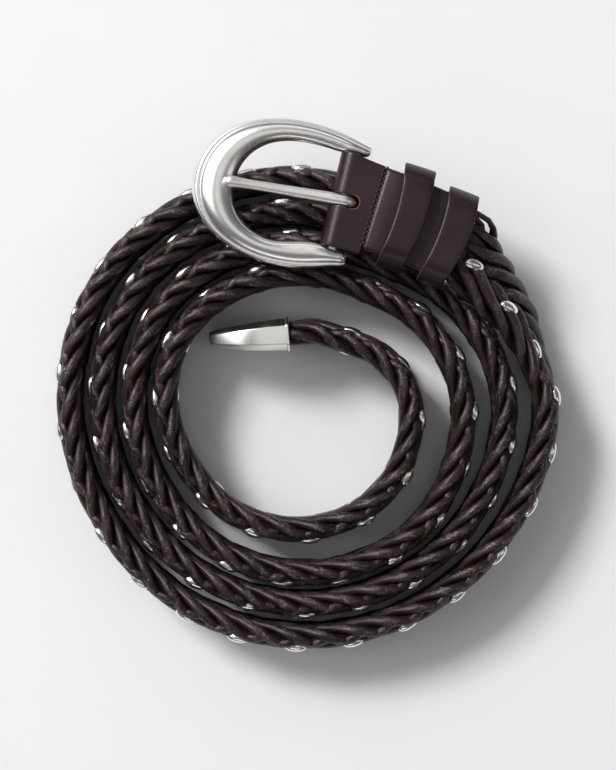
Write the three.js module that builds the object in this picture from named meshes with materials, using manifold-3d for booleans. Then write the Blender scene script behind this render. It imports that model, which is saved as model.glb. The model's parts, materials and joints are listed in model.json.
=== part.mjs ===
import * as THREE from 'three';
import { mergeVertices } from 'three/addons/utils/BufferGeometryUtils.js';
import Module from 'manifold-3d';

// A braided leather belt, coiled and laid on a flat surface. The strap stands on its edge in four rings, and the
// buckle end lies flat on top of them. Millimetres, +Z up, origin at the middle of the base.

// Room left between pieces that meet
const clearance = 0.3;

// The braided strap, with an oval stud through it at every step
const strapWidth = 21.6;
const strapThickness = 6.2;
const strapEdgeFlat = 3.6; // flat strip along each edge
const strapFullBand = 0.54; // share of the width that has the full thickness
const studLength = 5.6;
const studWidth = 2.9;
const studProud = 0.45;
const studPitch = 14.2;
const studFirst = 36.8; // first stud, measured along the strap from the bar

// The coil, measured to the middle of the strap's lower edge
const coilRadius = 62;
const ringGap = 0.3; // least room between two rings
const strapLean = 1.2; // how far inward the upper edge leans
const hairpinAngle = 20; // degrees past a full turn where the strap doubles back
const coilStart = 104; // degrees where the strap stands fully on its edge

// The buckle end, lying on the rings
const leather = 1.5; // wall of the bar loop and the keepers
const tabWidth = 22.8;
const tabWall = 1.2;
const tabLength = 29; // from the bar to where the braid comes out
const tabCurve = 125; // radius of its bend, seen from above
const bindShares = [0.45, 0.65, 0.85, 1, 1.06]; // of the tab's length, where the braid runs through it
const braidBind = 2.4; // thickness of the braid's flattened end inside the tab
const barLoopReach = 7.6; // from the bar to the stitched end
const keeperWidth = 7.2;
const keeperRoom = 1.6; // how far a keeper stands above the tab
const keeperSide = 0.9; // room beside the tab
const keeperUpperCorner = 2.6;
const keeperLowerCorner = 1.4;
const keeperRows = [
  { along: 16.3, askew: 3 }, // middle, measured from the bar, and degrees off square
  { along: 28.2, askew: 5 },
];

// The buckle
const barRadius = 1.5;
const windowReach = 28; // from the bar to the inside of the crown
const windowRoom = 1.2; // beside the leather, at each end of the bar
const crownWidth = 9.6;
const armWidth = 5.5;
const frameThickness = 5;
const barInArms = 0.6; // share of an arm's width that the bar's two ends take up
const frameSlide = -0.8; // the frame has slid along its bar
const prongWidth = 3.15;
const prongThickness = 2;
const prongEyeWall = 1.2;
const prongBow = 0.5;
const prongRest = 0.3; // share of the crown's width that its tip covers
const prongSkew = -1; // sideways drift of its tip
const slotRoom = 0.5; // round the prong

// The metal tip
const capLength = 20.3;
const capWall = 0.8;
const capFlare = 0.4; // rolled rim round the mouth
const capEndThickness = 3.8;
const capHold = 12; // length of braid inside
const capRun = 7.2; // straight run of braid before the mouth
const capRim = 1.6; // length of the rolled rim
const capShoulder = 0.55; // share of its length where the taper steepens
const capShoulderDrop = 0.42; // share of the taper used up there
const capMouthThick = 0.9; // share of the strap's thickness that enters the cap

// Where the bar lies over the coil, seen from above
const barAngle = 10.4; // degrees clockwise from +Y
const barOut = 0.799; // share of the coil's radius
const barHeading = -13.5; // the tab leads away to the right and slightly down

// Half outline of the frame, from the crown to the tip of an arm. back and side are shares of the reach and the half
// width of the outer and inner edges, thick is a share of the frame's thickness, rise a share of the bar's height.
const frameRows = [
  { outBack: 1.0, outSide: 0.0, inBack: 1.0, inSide: 0.0, thick: 1.0, rise: 0.0 },
  { outBack: 0.968, outSide: 0.343, inBack: 0.968, inSide: 0.349, thick: 1.0, rise: 0.0 },
  { outBack: 0.888, outSide: 0.586, inBack: 0.9, inSide: 0.611, thick: 0.98, rise: 0.03 },
  { outBack: 0.766, outSide: 0.807, inBack: 0.779, inSide: 0.857, thick: 0.94, rise: 0.1 },
  { outBack: 0.572, outSide: 0.961, inBack: 0.593, inSide: 0.984, thick: 0.86, rise: 0.3 },
  { outBack: 0.372, outSide: 1.0, inBack: 0.411, inSide: 1.0, thick: 0.82, rise: 0.55 },
  { outBack: 0.2, outSide: 0.961, inBack: 0.232, inSide: 0.992, thick: 0.8, rise: 0.8 },
  { outBack: 0.04, outSide: 0.878, inBack: 0.071, inSide: 0.984, thick: 0.76, rise: 1.0 },
  { outBack: -0.08, outSide: 0.76, inBack: -0.1, inSide: 1.01, thick: 0.4, rise: 1.4 },
];

const armShare = 0.76; // thickness of the arms at the bar

// The prong from its root to its tip: share of the length, share of the full section
const prongRows = [
  { share: -0.02, size: 0.9 },
  { share: 0.06, size: 1 },
  { share: 0.3, size: 1 },
  { share: 0.6, size: 0.98 },
  { share: 0.9, size: 0.94 },
  { share: 0.97, size: 0.86 },
  { share: 1, size: 0.5 },
];

// Section of the frame, across from its outer edge and up, as shares: flat back, domed body, groove and outer rim
const frameSection = [
  { across: 0.0, up: 0.4 },
  { across: 0.08, up: 0.1 },
  { across: 0.2, up: 0.0 },
  { across: 0.82, up: 0.0 },
  { across: 0.95, up: 0.14 },
  { across: 1.0, up: 0.45 },
  { across: 0.9, up: 0.82 },
  { across: 0.66, up: 1.0 },
  { across: 0.42, up: 0.9 },
  { across: 0.27, up: 0.62 },
  { across: 0.19, up: 0.72 },
  { across: 0.07, up: 0.66 },
];

// Radius of the outermost ring round the coil, as shares of the coil's radius
const ringRows = [
  { angle: 0, out: 0.893 },
  { angle: 30, out: 0.845 },
  { angle: 60, out: 0.914 },
  { angle: 90, out: 0.986 },
  { angle: 120, out: 0.988 },
  { angle: 150, out: 0.992 },
  { angle: 180, out: 1.0 },
  { angle: 210, out: 1.0 },
  { angle: 240, out: 0.988 },
  { angle: 270, out: 0.988 },
  { angle: 300, out: 0.971 },
  { angle: 330, out: 0.926 },
];

// How the strap comes down off the coil after the tab: out as a share of the outermost ring's radius, height as a
// share of the drop, roll as a share of its turn onto the edge, wide as a share of its width
const descentRows = [
  { angle: 52, out: 0.957, height: 0.86, roll: 0.22, wide: 0.8 },
  { angle: 60, out: 0.955, height: 0.62, roll: 0.42, wide: 0.84 },
  { angle: 70, out: 0.973, height: 0.3, roll: 0.68, wide: 0.91 },
  { angle: 80, out: 0.976, height: 0.08, roll: 0.88, wide: 0.97 },
  { angle: 92, out: 1, height: 0, roll: 1, wide: 1 },
];

// How far the inner rings lie inside the outermost one, in ring pitches, by the degrees travelled back
const innerRows = [
  { back: 0, steps: 1.18 },
  { back: 60, steps: 1.12 },
  { back: 230, steps: 1.15 },
  { back: 290, steps: 1.45 },
  { back: 350, steps: 1.76 },
  { back: 385, steps: 2.2 },
  { back: 590, steps: 2.21 },
  { back: 650, steps: 2.87 },
  { back: 710, steps: 2.85 },
  { back: 745, steps: 3.25 },
  { back: 830, steps: 3.28 },
  { back: 950, steps: 3.89 },
  { back: 1010, steps: 4.7 },
  { back: 1068, steps: 4.75 },
];
const capBack = 1116.4;
const capSteps = 5.34;
const capHeading = 184.2; // the tip points left, degrees from +X

// Steps of the swept shapes
const ringStep = 12; // degrees between the rings' knots
const strapStep = 7.6; // length of one facet of the strap
const hairpinStep = 2;
const frameSteps = 3; // facets between two rows of the frame

const wasm = await Module();
wasm.setup();
const radians = THREE.MathUtils.degToRad;
const up = new THREE.Vector3(0, 0, 1);

// What follows from the sizes above
const ringPitch = strapThickness + 2 * studProud + ringGap;
const coilTop = strapWidth + clearance;
const loopRadius = barRadius + clearance; // inside of the bar loop
const barHeight = coilTop + loopRadius + leather;
const tabFloor = coilTop + leather + clearance;
const tabNeck = 2 * loopRadius - 2 * clearance; // the tab's thickness between the bar loop's layers
const tabBody = braidBind + 2 * (clearance + tabWall);
const tabMiddle = tabFloor + tabBody / 2;
const windowWidth = tabWidth + 2 * windowRoom;
const frameReach = windowReach + crownWidth;
const frameWidth = windowWidth + 2 * armWidth;

// A closed surface through rings of points: the first and last ring are closed by a cap, or join each other
function loft(rings, joined = false) {
  const count = rings[0].length;
  const positions = rings.flat().flatMap((p) => [p.x, p.y, p.z]);
  const index = [];
  const bands = joined ? rings.length : rings.length - 1;
  for (let i = 0; i < bands; i++) {
    const a = i * count;
    const b = ((i + 1) % rings.length) * count;
    for (let j = 0; j < count; j++) {
      const k = (j + 1) % count;
      index.push(a + j, a + k, b + k, a + j, b + k, b + j);
    }
  }
  if (!joined) {
    const last = (rings.length - 1) * count;
    for (const [i, j, k] of capTriangles(rings[0])) index.push(i, k, j);
    for (const [i, j, k] of capTriangles(rings[rings.length - 1])) index.push(last + i, last + j, last + k);
  }
  const geometry = new THREE.BufferGeometry();
  geometry.setAttribute('position', new THREE.Float32BufferAttribute(positions, 3));
  geometry.setIndex(index);
  return facingOut(geometry);
}

// Triangles of one flat ring, worked out in the ring's own plane
function capTriangles(ring) {
  const normal = new THREE.Vector3();
  ring.forEach((p, i) => normal.add(p.clone().cross(ring[(i + 1) % ring.length])));
  normal.normalize();
  const across = ring[1].clone().sub(ring[0]).normalize();
  const along = normal.clone().cross(across);
  const flat = ring.map((p) => new THREE.Vector2(p.dot(across), p.dot(along)));
  return THREE.ShapeUtils.triangulateShape(flat, []);
}

function volumeOf(geometry) {
  const p = geometry.attributes.position;
  const [a, b, c] = [new THREE.Vector3(), new THREE.Vector3(), new THREE.Vector3()];
  let sum = 0;
  for (let i = 0; i < geometry.index.count; i += 3) {
    a.fromBufferAttribute(p, geometry.index.getX(i));
    b.fromBufferAttribute(p, geometry.index.getX(i + 1));
    c.fromBufferAttribute(p, geometry.index.getX(i + 2));
    sum += a.dot(b.cross(c)) / 6;
  }
  return sum;
}

function facingOut(geometry) {
  if (volumeOf(geometry) > 0) return geometry;
  geometry.setIndex(Array.from(geometry.index.array).reverse());
  return geometry;
}

function solidOf(geometry) {
  const bare = new THREE.BufferGeometry();
  bare.setAttribute('position', geometry.attributes.position);
  if (geometry.index) bare.setIndex(geometry.index);
  const merged = facingOut(mergeVertices(bare, 1e-4));
  return new wasm.Manifold(
    new wasm.Mesh({
      numProp: 3,
      vertProperties: Float32Array.from(merged.attributes.position.array),
      triVerts: Uint32Array.from(merged.index.array),
    }),
  );
}

function geometryOf(solid) {
  const mesh = solid.getMesh();
  const geometry = new THREE.BufferGeometry();
  geometry.setAttribute('position', new THREE.Float32BufferAttribute(mesh.vertProperties, 3));
  geometry.setIndex(Array.from(mesh.triVerts));
  return geometry;
}

// The value of a column between the rows of a table, eased so that the curve has no corners
function between(rows, key, value, at, period = 0) {
  const count = rows.length;
  let row = count - 1;
  while (row > 0 && rows[row][key] > at) row--;
  const pick = (i) => {
    if (period) {
      const turn = Math.floor(i / count);
      const wrapped = rows[i - turn * count];
      return [wrapped[key] + turn * period, wrapped[value]];
    }
    const held = rows[THREE.MathUtils.clamp(i, 0, count - 1)];
    return [held[key], held[value]];
  };
  const [x0, y0] = pick(row - 1);
  const [x1, y1] = pick(row);
  const [x2, y2] = pick(row + 1);
  const [x3, y3] = pick(row + 2);
  if (x2 === x1) return y1;
  const t = (at - x1) / (x2 - x1);
  const slopeIn = ((y2 - y0) / (x2 - x0)) * (x2 - x1);
  const slopeOut = ((y3 - y1) / (x3 - x1)) * (x2 - x1);
  const cubic = 2 * y1 - 2 * y2 + slopeIn + slopeOut;
  const square = 3 * y2 - 3 * y1 - 2 * slopeIn - slopeOut;
  return ((cubic * t + square) * t + slopeIn) * t + y1;
}

function polar(angle, radius, height) {
  return new THREE.Vector3(radius * Math.sin(radians(angle)), radius * Math.cos(radians(angle)), height);
}

const outerRadius = (angle) => coilRadius * between(ringRows, 'angle', 'out', ((angle % 360) + 360) % 360, 360);

// The buckle end has its own axes: X along the tab, Z up, origin on the coil's axis plane below the bar's middle
const buckleEnd = new THREE.Group();
buckleEnd.position.copy(polar(barAngle, coilRadius * barOut, 0));
buckleEnd.rotation.z = radians(barHeading);
buckleEnd.updateMatrix();

// A point of the buckle end that follows the tab's gentle bend: along it, across it and up
function alongTab(along, across, height) {
  const turned = Math.max(along, 0) / tabCurve;
  const bendX = along < 0 ? along : tabCurve * Math.sin(turned);
  const bendY = along < 0 ? 0 : -tabCurve * (1 - Math.cos(turned));
  return new THREE.Vector3(bendX + across * Math.sin(turned), bendY + across * Math.cos(turned), height);
}

// The strap

// Knots of the strap's route: place of its middle, roll (0 face up, 1 on its edge), lean, and shares of its size
function strapKnots() {
  const knots = [];
  const bindThick = braidBind / strapThickness;
  const bindWide = (tabWidth - 2 * (tabWall + clearance)) / strapWidth;
  const edgeHeight = strapWidth / 2;
  for (const share of bindShares) {
    const place = alongTab(tabLength * share, 0, tabMiddle).applyMatrix4(buckleEnd.matrix);
    knots.push({ place, roll: 0, lean: 0, thick: bindThick, wide: bindWide });
  }
  for (const row of descentRows) {
    const height = edgeHeight + (tabMiddle - edgeHeight) * row.height;
    const place = polar(row.angle, outerRadius(row.angle) * row.out, height);
    knots.push({ place, roll: row.roll, lean: -row.roll, thick: 1, wide: row.wide });
  }
  const lastOuter = 360 + hairpinAngle;
  const outerTurns = Math.round((lastOuter - coilStart) / ringStep);
  for (let i = 0; i <= outerTurns; i++) {
    const angle = coilStart + ((lastOuter - coilStart) * i) / outerTurns;
    knots.push({ place: polar(angle, outerRadius(angle), edgeHeight), roll: 1, lean: -1, thick: 1, wide: 1 });
  }
  knots.push(...hairpinKnots(lastOuter, edgeHeight));
  const lastBack = innerRows[innerRows.length - 1].back;
  const backTurns = Math.round(lastBack / ringStep);
  for (let i = 1; i <= backTurns; i++) {
    const back = (lastBack * i) / backTurns;
    knots.push({ place: innerPlace(back, edgeHeight), roll: 1, lean: 1, thick: 1, wide: 1 });
  }
  knots.push(...capKnots(edgeHeight));
  return knots;
}

function innerPlace(back, height, steps = between(innerRows, 'back', 'steps', back)) {
  const angle = 360 + hairpinAngle - back;
  return polar(angle, outerRadius(angle) - steps * ringPitch, height);
}

// The half circle in which the strap doubles back under the tab
function hairpinKnots(angle, height) {
  const first = polar(angle, outerRadius(angle), height);
  const last = innerPlace(0, height);
  const middle = first.clone().add(last).multiplyScalar(0.5);
  const out = first.clone().sub(middle);
  const ahead = polar(angle + 90, out.length(), 0);
  const knots = [];
  for (let degrees = 36; degrees < 180; degrees += 36) {
    const place = middle.clone();
    place.addScaledVector(out, Math.cos(radians(degrees)));
    place.addScaledVector(ahead, Math.sin(radians(degrees)));
    knots.push({ place, roll: 1, lean: degrees / 90 - 1, thick: 1, wide: 1, fine: true });
  }
  knots.push({ place: last, roll: 1, lean: 1, thick: 1, wide: 1, fine: true });
  return knots;
}

const capMouth = innerPlace(capBack, 0, capSteps);
const capAhead = new THREE.Vector3(Math.cos(radians(capHeading)), Math.sin(radians(capHeading)), 0);
const boundWide = 1 - (2 * (capWall + clearance)) / strapWidth;

// The braid runs straight into the cap, drawn in so that the cap's wall is flush with its edges
function capKnots(height) {
  const into = (along) => capMouth.clone().addScaledVector(capAhead, along).setZ(height);
  const endThick = THREE.MathUtils.lerp(capMouthThick, capCoreEnd() / strapThickness, capHold / capLength);
  return [
    { place: into(-capRun), roll: 1, lean: 1, thick: 1, wide: 1 },
    { place: into(-2 * clearance), roll: 1, lean: 1, thick: capMouthThick, wide: boundWide },
    { place: into(capHold), roll: 1, lean: 1, thick: endThick, wide: boundWide },
  ];
}

function capCoreEnd() {
  return capEndThickness - 2 * (capWall + clearance);
}

const knots = strapKnots();
const route = new THREE.CatmullRomCurve3(knots.map((knot) => knot.place), false, 'centripetal');

// The strap's place, axes and size at a share of a span between two knots
function strapStation(span, share) {
  const [a, b] = [knots[span], knots[Math.min(span + 1, knots.length - 1)]];
  const at = (span + share) / (knots.length - 1);
  const tangent = route.getTangent(Math.min(at, 1));
  const left = up.clone().cross(tangent).normalize();
  const rise = tangent.clone().cross(left);
  const mix = (key) => THREE.MathUtils.lerp(a[key], b[key], share);
  const roll = radians(90 * mix('roll'));
  const middle = route.getPoint(Math.min(at, 1));
  middle.z = Math.max(middle.z, strapWidth / 2);
  return {
    middle,
    ahead: tangent,
    face: rise.clone().multiplyScalar(Math.cos(roll)).addScaledVector(left, Math.sin(roll)),
    edge: rise.clone().multiplyScalar(Math.sin(roll)).addScaledVector(left, -Math.cos(roll)),
    left,
    lean: mix('lean') * strapLean,
    thick: mix('thick') * strapThickness,
    wide: mix('wide') * strapWidth,
  };
}

// A point of the strap, out of its face and towards its upper edge
function onStrap(station, out, over) {
  const point = station.middle.clone();
  point.addScaledVector(station.face, out);
  point.addScaledVector(station.edge, over);
  point.addScaledVector(station.left, station.lean * (over / strapWidth + 0.5));
  return point;
}

function strapRing(station) {
  const half = station.wide / 2;
  const flat = (strapEdgeFlat / strapThickness) * (station.thick / 2);
  const full = station.thick / 2;
  const corners = [
    [flat, -half],
    [full, -half * strapFullBand],
    [full, half * strapFullBand],
    [flat, half],
    [-flat, half],
    [-full, half * strapFullBand],
    [-full, -half * strapFullBand],
    [-flat, -half],
  ];
  return corners.map(([out, over]) => onStrap(station, out, over));
}

function strapBand() {
  const rings = [];
  for (let span = 0; span < knots.length - 1; span++) {
    const length = knots[span].place.distanceTo(knots[span + 1].place);
    const step = knots[span].fine || knots[span + 1].fine ? hairpinStep : strapStep;
    const facets = Math.max(1, Math.round(length / step));
    for (let i = 0; i < facets; i++) rings.push(strapRing(strapStation(span, i / facets)));
  }
  rings.push(strapRing(strapStation(knots.length - 2, 1)));
  return loft(rings);
}

// Studs go through the strap and stand proud of both faces. None sits on the hairpin or inside the tab and the cap.
function strapStuds() {
  const studs = [];
  let travelled = tabLength * bindShares[0];
  let next = studFirst;
  const samples = 40; // for measuring the length between two knots
  let before = route.getPoint(0);
  for (let span = 0; span < knots.length - 2; span++) {
    const bent = knots[span].fine || knots[span + 1].fine;
    for (let i = 1; i <= samples; i++) {
      const here = route.getPoint((span + i / samples) / (knots.length - 1));
      travelled += here.distanceTo(before);
      before = here;
      if (travelled < next) continue;
      next += studPitch;
      if (!bent && span < knots.length - 3) studs.push(stud(strapStation(span, i / samples)));
    }
  }
  return studs;
}

function stud(station) {
  const rows = [
    { out: 1, size: 0.6 },
    { out: -0.6, size: 1.15 },
    { out: 0.6, size: 1.15 },
    { out: -1, size: 0.6 },
  ];
  const rings = rows.map(({ out, size }, i) => {
    const reach = (i < 2 ? 1 : -1) * (station.thick / 2) + studProud * out;
    return [0, 60, 120, 180, 240, 300].map((degrees) => {
      const point = onStrap(station, reach, (studWidth / 2) * size * Math.sin(radians(degrees)));
      return point.addScaledVector(station.ahead, (studLength / 2) * size * Math.cos(radians(degrees)));
    });
  });
  return loft(rings);
}

function strap() {
  let body = solidOf(strapBand());
  for (const piece of strapStuds()) body = body.add(solidOf(piece));
  return geometryOf(body);
}

// The metal tip

// One ring of the cap's wall: a lens with flat edges, like the strap's own section
function capRing(along, thickness, width) {
  const station = {
    middle: capMouth.clone().addScaledVector(capAhead, along).setZ(strapWidth / 2),
    face: up.clone().cross(capAhead),
    edge: up,
    left: up.clone().cross(capAhead),
    lean: strapLean,
    thick: thickness,
    wide: width,
  };
  return strapRing(station);
}

function tipCap() {
  const mouthCore = strapThickness * capMouthThick + 2 * clearance;
  const endCore = capEndThickness - 2 * capWall;
  const mouth = mouthCore + 2 * capWall;
  const inner = strapWidth - 2 * capWall;
  return loft([
    capRing(capLength - capWall, endCore, inner),
    capRing(0, mouthCore, inner),
    capRing(0, mouth + 2 * capFlare, strapWidth),
    capRing(capRim, mouth + 2 * capFlare, strapWidth),
    capRing(capRim + capFlare, mouth, strapWidth),
    capRing(capLength * capShoulder, THREE.MathUtils.lerp(mouth, capEndThickness, capShoulderDrop), strapWidth),
    capRing(capLength - capWall, capEndThickness, strapWidth),
    capRing(capLength, capEndThickness - capWall, strapWidth - 2 * capWall),
  ]);
}

// The buckle end

// The sleeve of leather that binds the braid's end: thin between the layers of the bar loop, then full
function tab() {
  const start = loopRadius + leather + 2 * clearance;
  const stations = [
    { along: start, thick: tabNeck },
    { along: barLoopReach + clearance, thick: tabNeck },
    { along: barLoopReach + tabBody, thick: tabBody },
    { along: tabLength * 0.75, thick: tabBody },
    { along: tabLength, thick: tabBody },
  ];
  const hollowStart = barLoopReach + tabBody - tabWall;
  const outer = stations.map(({ along, thick }) => tabRing(along, thick, tabWidth, tabFloor));
  const core = [tabLength, tabLength * 0.75, hollowStart].map((along) =>
    tabRing(along, tabBody - 2 * tabWall, tabWidth - 2 * tabWall, tabFloor + tabWall),
  );
  return loft([...outer, ...core]);
}

function tabRing(along, thick, width, floor) {
  const round = 0.25 * Math.min(thick, leather);
  const half = width / 2;
  const corners = [
    [-half, round],
    [-half + round, 0],
    [half - round, 0],
    [half, round],
    [half, thick - round],
    [half - round, thick],
    [-half + round, thick],
    [-half, thick - round],
  ];
  return corners.map(([across, height]) => alongTab(along, across, floor + height));
}

// The short strip folded round the bar, with the prong's slot through the fold
function barLoop() {
  const middle = loopRadius + leather / 2;
  const path = [{ along: barLoopReach, height: -middle, turn: -90 }];
  path.push({ along: barLoopReach / 2, height: -middle, turn: -90 });
  for (let turn = -90; turn >= -270; turn -= 20) {
    path.push({ along: middle * Math.cos(radians(turn)), height: middle * Math.sin(radians(turn)), turn });
  }
  path.push({ along: barLoopReach / 2, height: middle, turn: -270 });
  path.push({ along: barLoopReach, height: middle, turn: -270 });
  const half = tabWidth / 2;
  const rings = path.map(({ along, height, turn }) => {
    const [outX, outZ] = [Math.cos(radians(turn)), Math.sin(radians(turn))];
    const corners = [
      [half, leather / 2],
      [-half, leather / 2],
      [-half, -leather / 2],
      [half, -leather / 2],
    ];
    return corners.map(([across, out]) => alongTab(along + outX * out, across, barHeight + height + outZ * out));
  });
  return geometryOf(solidOf(loft(rings)).subtract(solidOf(slotCutter())));
}

function slotCutter() {
  const half = prongWidth / 2 + slotRoom;
  const reach = loopRadius + prongEyeWall + slotRoom;
  const outline = new THREE.Shape();
  outline.moveTo(-reach - leather, -half);
  outline.lineTo(reach - half + slotRoom, -half);
  outline.absarc(reach - half + slotRoom, 0, half, -Math.PI / 2, Math.PI / 2, false);
  outline.lineTo(-reach - leather, half);
  const depth = 4 * (loopRadius + leather);
  const prism = new THREE.ExtrudeGeometry(outline, { depth, bevelEnabled: false, curveSegments: 6 });
  prism.translate(0, 0, barHeight - depth / 2);
  return prism;
}

// A keeper: a band of leather round the tab with rounded corners, its floor under the tab
function keeper({ along, askew }) {
  const innerHalf = tabWidth / 2 + keeperSide;
  const floor = coilTop + leather;
  const ceiling = tabFloor + tabBody + keeperRoom;
  const corners = [
    { side: 1, height: floor, turn: -90 },
    { side: 1, height: ceiling, turn: 0 },
    { side: -1, height: ceiling, turn: 90 },
    { side: -1, height: floor, turn: 180 },
  ];
  const rings = [];
  for (const { side, height, turn } of corners) {
    const corner = height === floor ? keeperLowerCorner : keeperUpperCorner;
    const inward = height === floor ? corner : -corner;
    for (let step = 0; step <= 4; step++) {
      const direction = radians(turn + 22.5 * step);
      const centre = [side * (innerHalf - corner), height + inward];
      const at = (radius) => [centre[0] + radius * Math.cos(direction), centre[1] + radius * Math.sin(direction)];
      const place = ([across, level], reach) => {
        const turned = new THREE.Vector2(reach, across).rotateAround(new THREE.Vector2(), radians(askew));
        return alongTab(along + turned.x, turned.y, level);
      };
      const half = keeperWidth / 2;
      const [inner, outer] = [at(corner), at(corner + leather)];
      rings.push([place(inner, -half), place(inner, half), place(outer, half), place(outer, -half)]);
    }
  }
  return loft(rings, true);
}

// The buckle

const numberedRows = frameRows.map((row, i) => ({ ...row, i }));

function frameStation(at) {
  const column = (name) => between(numberedRows, 'i', name, Math.abs(at));
  const side = Math.sign(at) || 1;
  const outer = [-frameReach * column('outBack'), (side * frameWidth * column('outSide')) / 2 + frameSlide];
  const inner = [-windowReach * column('inBack'), (side * windowWidth * column('inSide')) / 2 + frameSlide];
  const thick = frameThickness * column('thick');
  const armThick = frameThickness * armShare;
  const rise = (barHeight - coilTop - armThick / 2) * column('rise');
  return { outer, inner, thick, floor: coilTop + rise };
}

function buckleFrame() {
  const last = frameRows.length - 1;
  const rings = [];
  for (let i = -last * frameSteps; i <= last * frameSteps; i++) {
    const { outer, inner, thick, floor } = frameStation(i / frameSteps);
    rings.push(
      frameSection.map(({ across, up: share }) => {
        const x = THREE.MathUtils.lerp(outer[0], inner[0], across);
        const y = THREE.MathUtils.lerp(outer[1], inner[1], across);
        return new THREE.Vector3(x, y, floor + thick * share);
      }),
    );
  }
  const bar = new THREE.CylinderGeometry(barRadius, barRadius, windowWidth + armWidth * barInArms, 16);
  bar.translate(0, frameSlide, barHeight);
  return geometryOf(solidOf(loft(rings)).add(solidOf(bar)));
}

// The prong: an eye round the bar and a slightly bowed tongue that rests on the crown
function prong() {
  const eyeRadius = loopRadius + prongEyeWall;
  const half = prongWidth / 2;
  const profile = [
    new THREE.Vector2(loopRadius, -half),
    new THREE.Vector2(eyeRadius, -half),
    new THREE.Vector2(eyeRadius, half),
    new THREE.Vector2(loopRadius, half),
    new THREE.Vector2(loopRadius, -half),
  ];
  const eye = new THREE.LatheGeometry(profile, 18);
  eye.translate(0, 0, barHeight);
  const tipBack = windowReach + crownWidth * prongRest;
  const crownTop = coilTop + frameThickness;
  const tipHeight = crownTop + clearance + prongThickness / 2;
  const rootHeight = barHeight + eyeRadius - prongThickness / 2;
  const rings = prongRows.map(({ share, size }) => {
    const height = THREE.MathUtils.lerp(rootHeight, tipHeight, share) + prongBow * Math.sin(Math.PI * share);
    const ring = [];
    for (let i = 0; i < 8; i++) {
      const turn = radians(45 * i + 22.5);
      const y = prongSkew * share + half * size * Math.cos(turn);
      ring.push(new THREE.Vector3(-tipBack * share, y, height + (prongThickness / 2) * size * Math.sin(turn)));
    }
    return ring;
  });
  return geometryOf(solidOf(eye).add(solidOf(loft(rings))).subtract(solidOf(barHole())));
}

// Clears the tongue's root out of the eye's hole
function barHole() {
  const hole = new THREE.CylinderGeometry(loopRadius, loopRadius, prongWidth * 2, 18);
  hole.translate(0, 0, barHeight);
  return hole;
}

const leatherLook = () => new THREE.MeshStandardMaterial({ color: 0x3a2c2c, roughness: 0.5, metalness: 0 });
const braidLook = () => new THREE.MeshStandardMaterial({ color: 0x2e2220, roughness: 0.55, metalness: 0 });
const metalLook = () => new THREE.MeshStandardMaterial({ color: 0xb8b4ae, roughness: 0.28, metalness: 1 });

function piece(name, geometry, material) {
  const flat = geometry.index ? geometry.toNonIndexed() : geometry;
  flat.deleteAttribute('uv');
  flat.deleteAttribute('normal');
  flat.computeVertexNormals();
  const mesh = new THREE.Mesh(flat, material);
  mesh.name = name;
  return mesh;
}

buckleEnd.add(piece('buckle_frame', buckleFrame(), metalLook()));
buckleEnd.add(piece('prong', prong(), metalLook()));
buckleEnd.add(piece('bar_loop', barLoop(), leatherLook()));
buckleEnd.add(piece('tab', tab(), leatherLook()));
keeperRows.forEach((row, i) => buckleEnd.add(piece(`keeper_${i + 1}`, keeper(row), leatherLook())));

const belt = new THREE.Group();
belt.add(buckleEnd);
belt.add(piece('strap', strap(), braidLook()));
belt.add(piece('tip_cap', tipCap(), metalLook()));

// The origin goes to the middle of the base
const bounds = new THREE.Box3().setFromObject(belt, true);
const middle = bounds.getCenter(new THREE.Vector3());
belt.position.set(-middle.x, -middle.y, -bounds.min.z);

export default belt;
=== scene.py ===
import json
import math
import random

import bpy
import numpy as np
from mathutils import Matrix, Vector


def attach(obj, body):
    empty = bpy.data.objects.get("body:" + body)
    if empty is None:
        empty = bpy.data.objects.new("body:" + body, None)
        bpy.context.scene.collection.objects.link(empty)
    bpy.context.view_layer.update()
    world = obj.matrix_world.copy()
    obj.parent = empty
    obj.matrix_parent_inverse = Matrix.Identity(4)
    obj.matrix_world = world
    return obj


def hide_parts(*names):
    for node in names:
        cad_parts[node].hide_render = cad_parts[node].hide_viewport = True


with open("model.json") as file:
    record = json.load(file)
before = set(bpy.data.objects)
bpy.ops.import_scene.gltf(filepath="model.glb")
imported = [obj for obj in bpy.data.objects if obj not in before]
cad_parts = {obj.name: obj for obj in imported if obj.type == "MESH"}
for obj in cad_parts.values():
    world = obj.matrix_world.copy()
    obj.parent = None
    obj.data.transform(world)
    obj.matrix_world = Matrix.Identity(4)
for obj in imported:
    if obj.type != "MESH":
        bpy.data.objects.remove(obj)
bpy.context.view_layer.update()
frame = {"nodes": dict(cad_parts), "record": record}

# Studded braided belt, coiled on its edge. Sizes are in millimetres until a mesh is made.
mm = 0.001
print("belt: frame loaded with", len(frame["nodes"]), "nodes")


# Node trees, for materials and for geometry

class Wire:
    # one output of a node, which can be used in sums
    def __init__(self, bench, socket):
        self.bench = bench
        self.socket = socket

    def work(self, operation, first, second):
        return self.bench.node("ShaderNodeMath", {"operation": operation}, {0: first, 1: second})

    def __add__(self, other):
        return self.work("ADD", self, other)

    def __radd__(self, other):
        return self.work("ADD", other, self)

    def __sub__(self, other):
        return self.work("SUBTRACT", self, other)

    def __rsub__(self, other):
        return self.work("SUBTRACT", other, self)

    def __mul__(self, other):
        return self.work("MULTIPLY", self, other)

    def __rmul__(self, other):
        return self.work("MULTIPLY", other, self)


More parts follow.
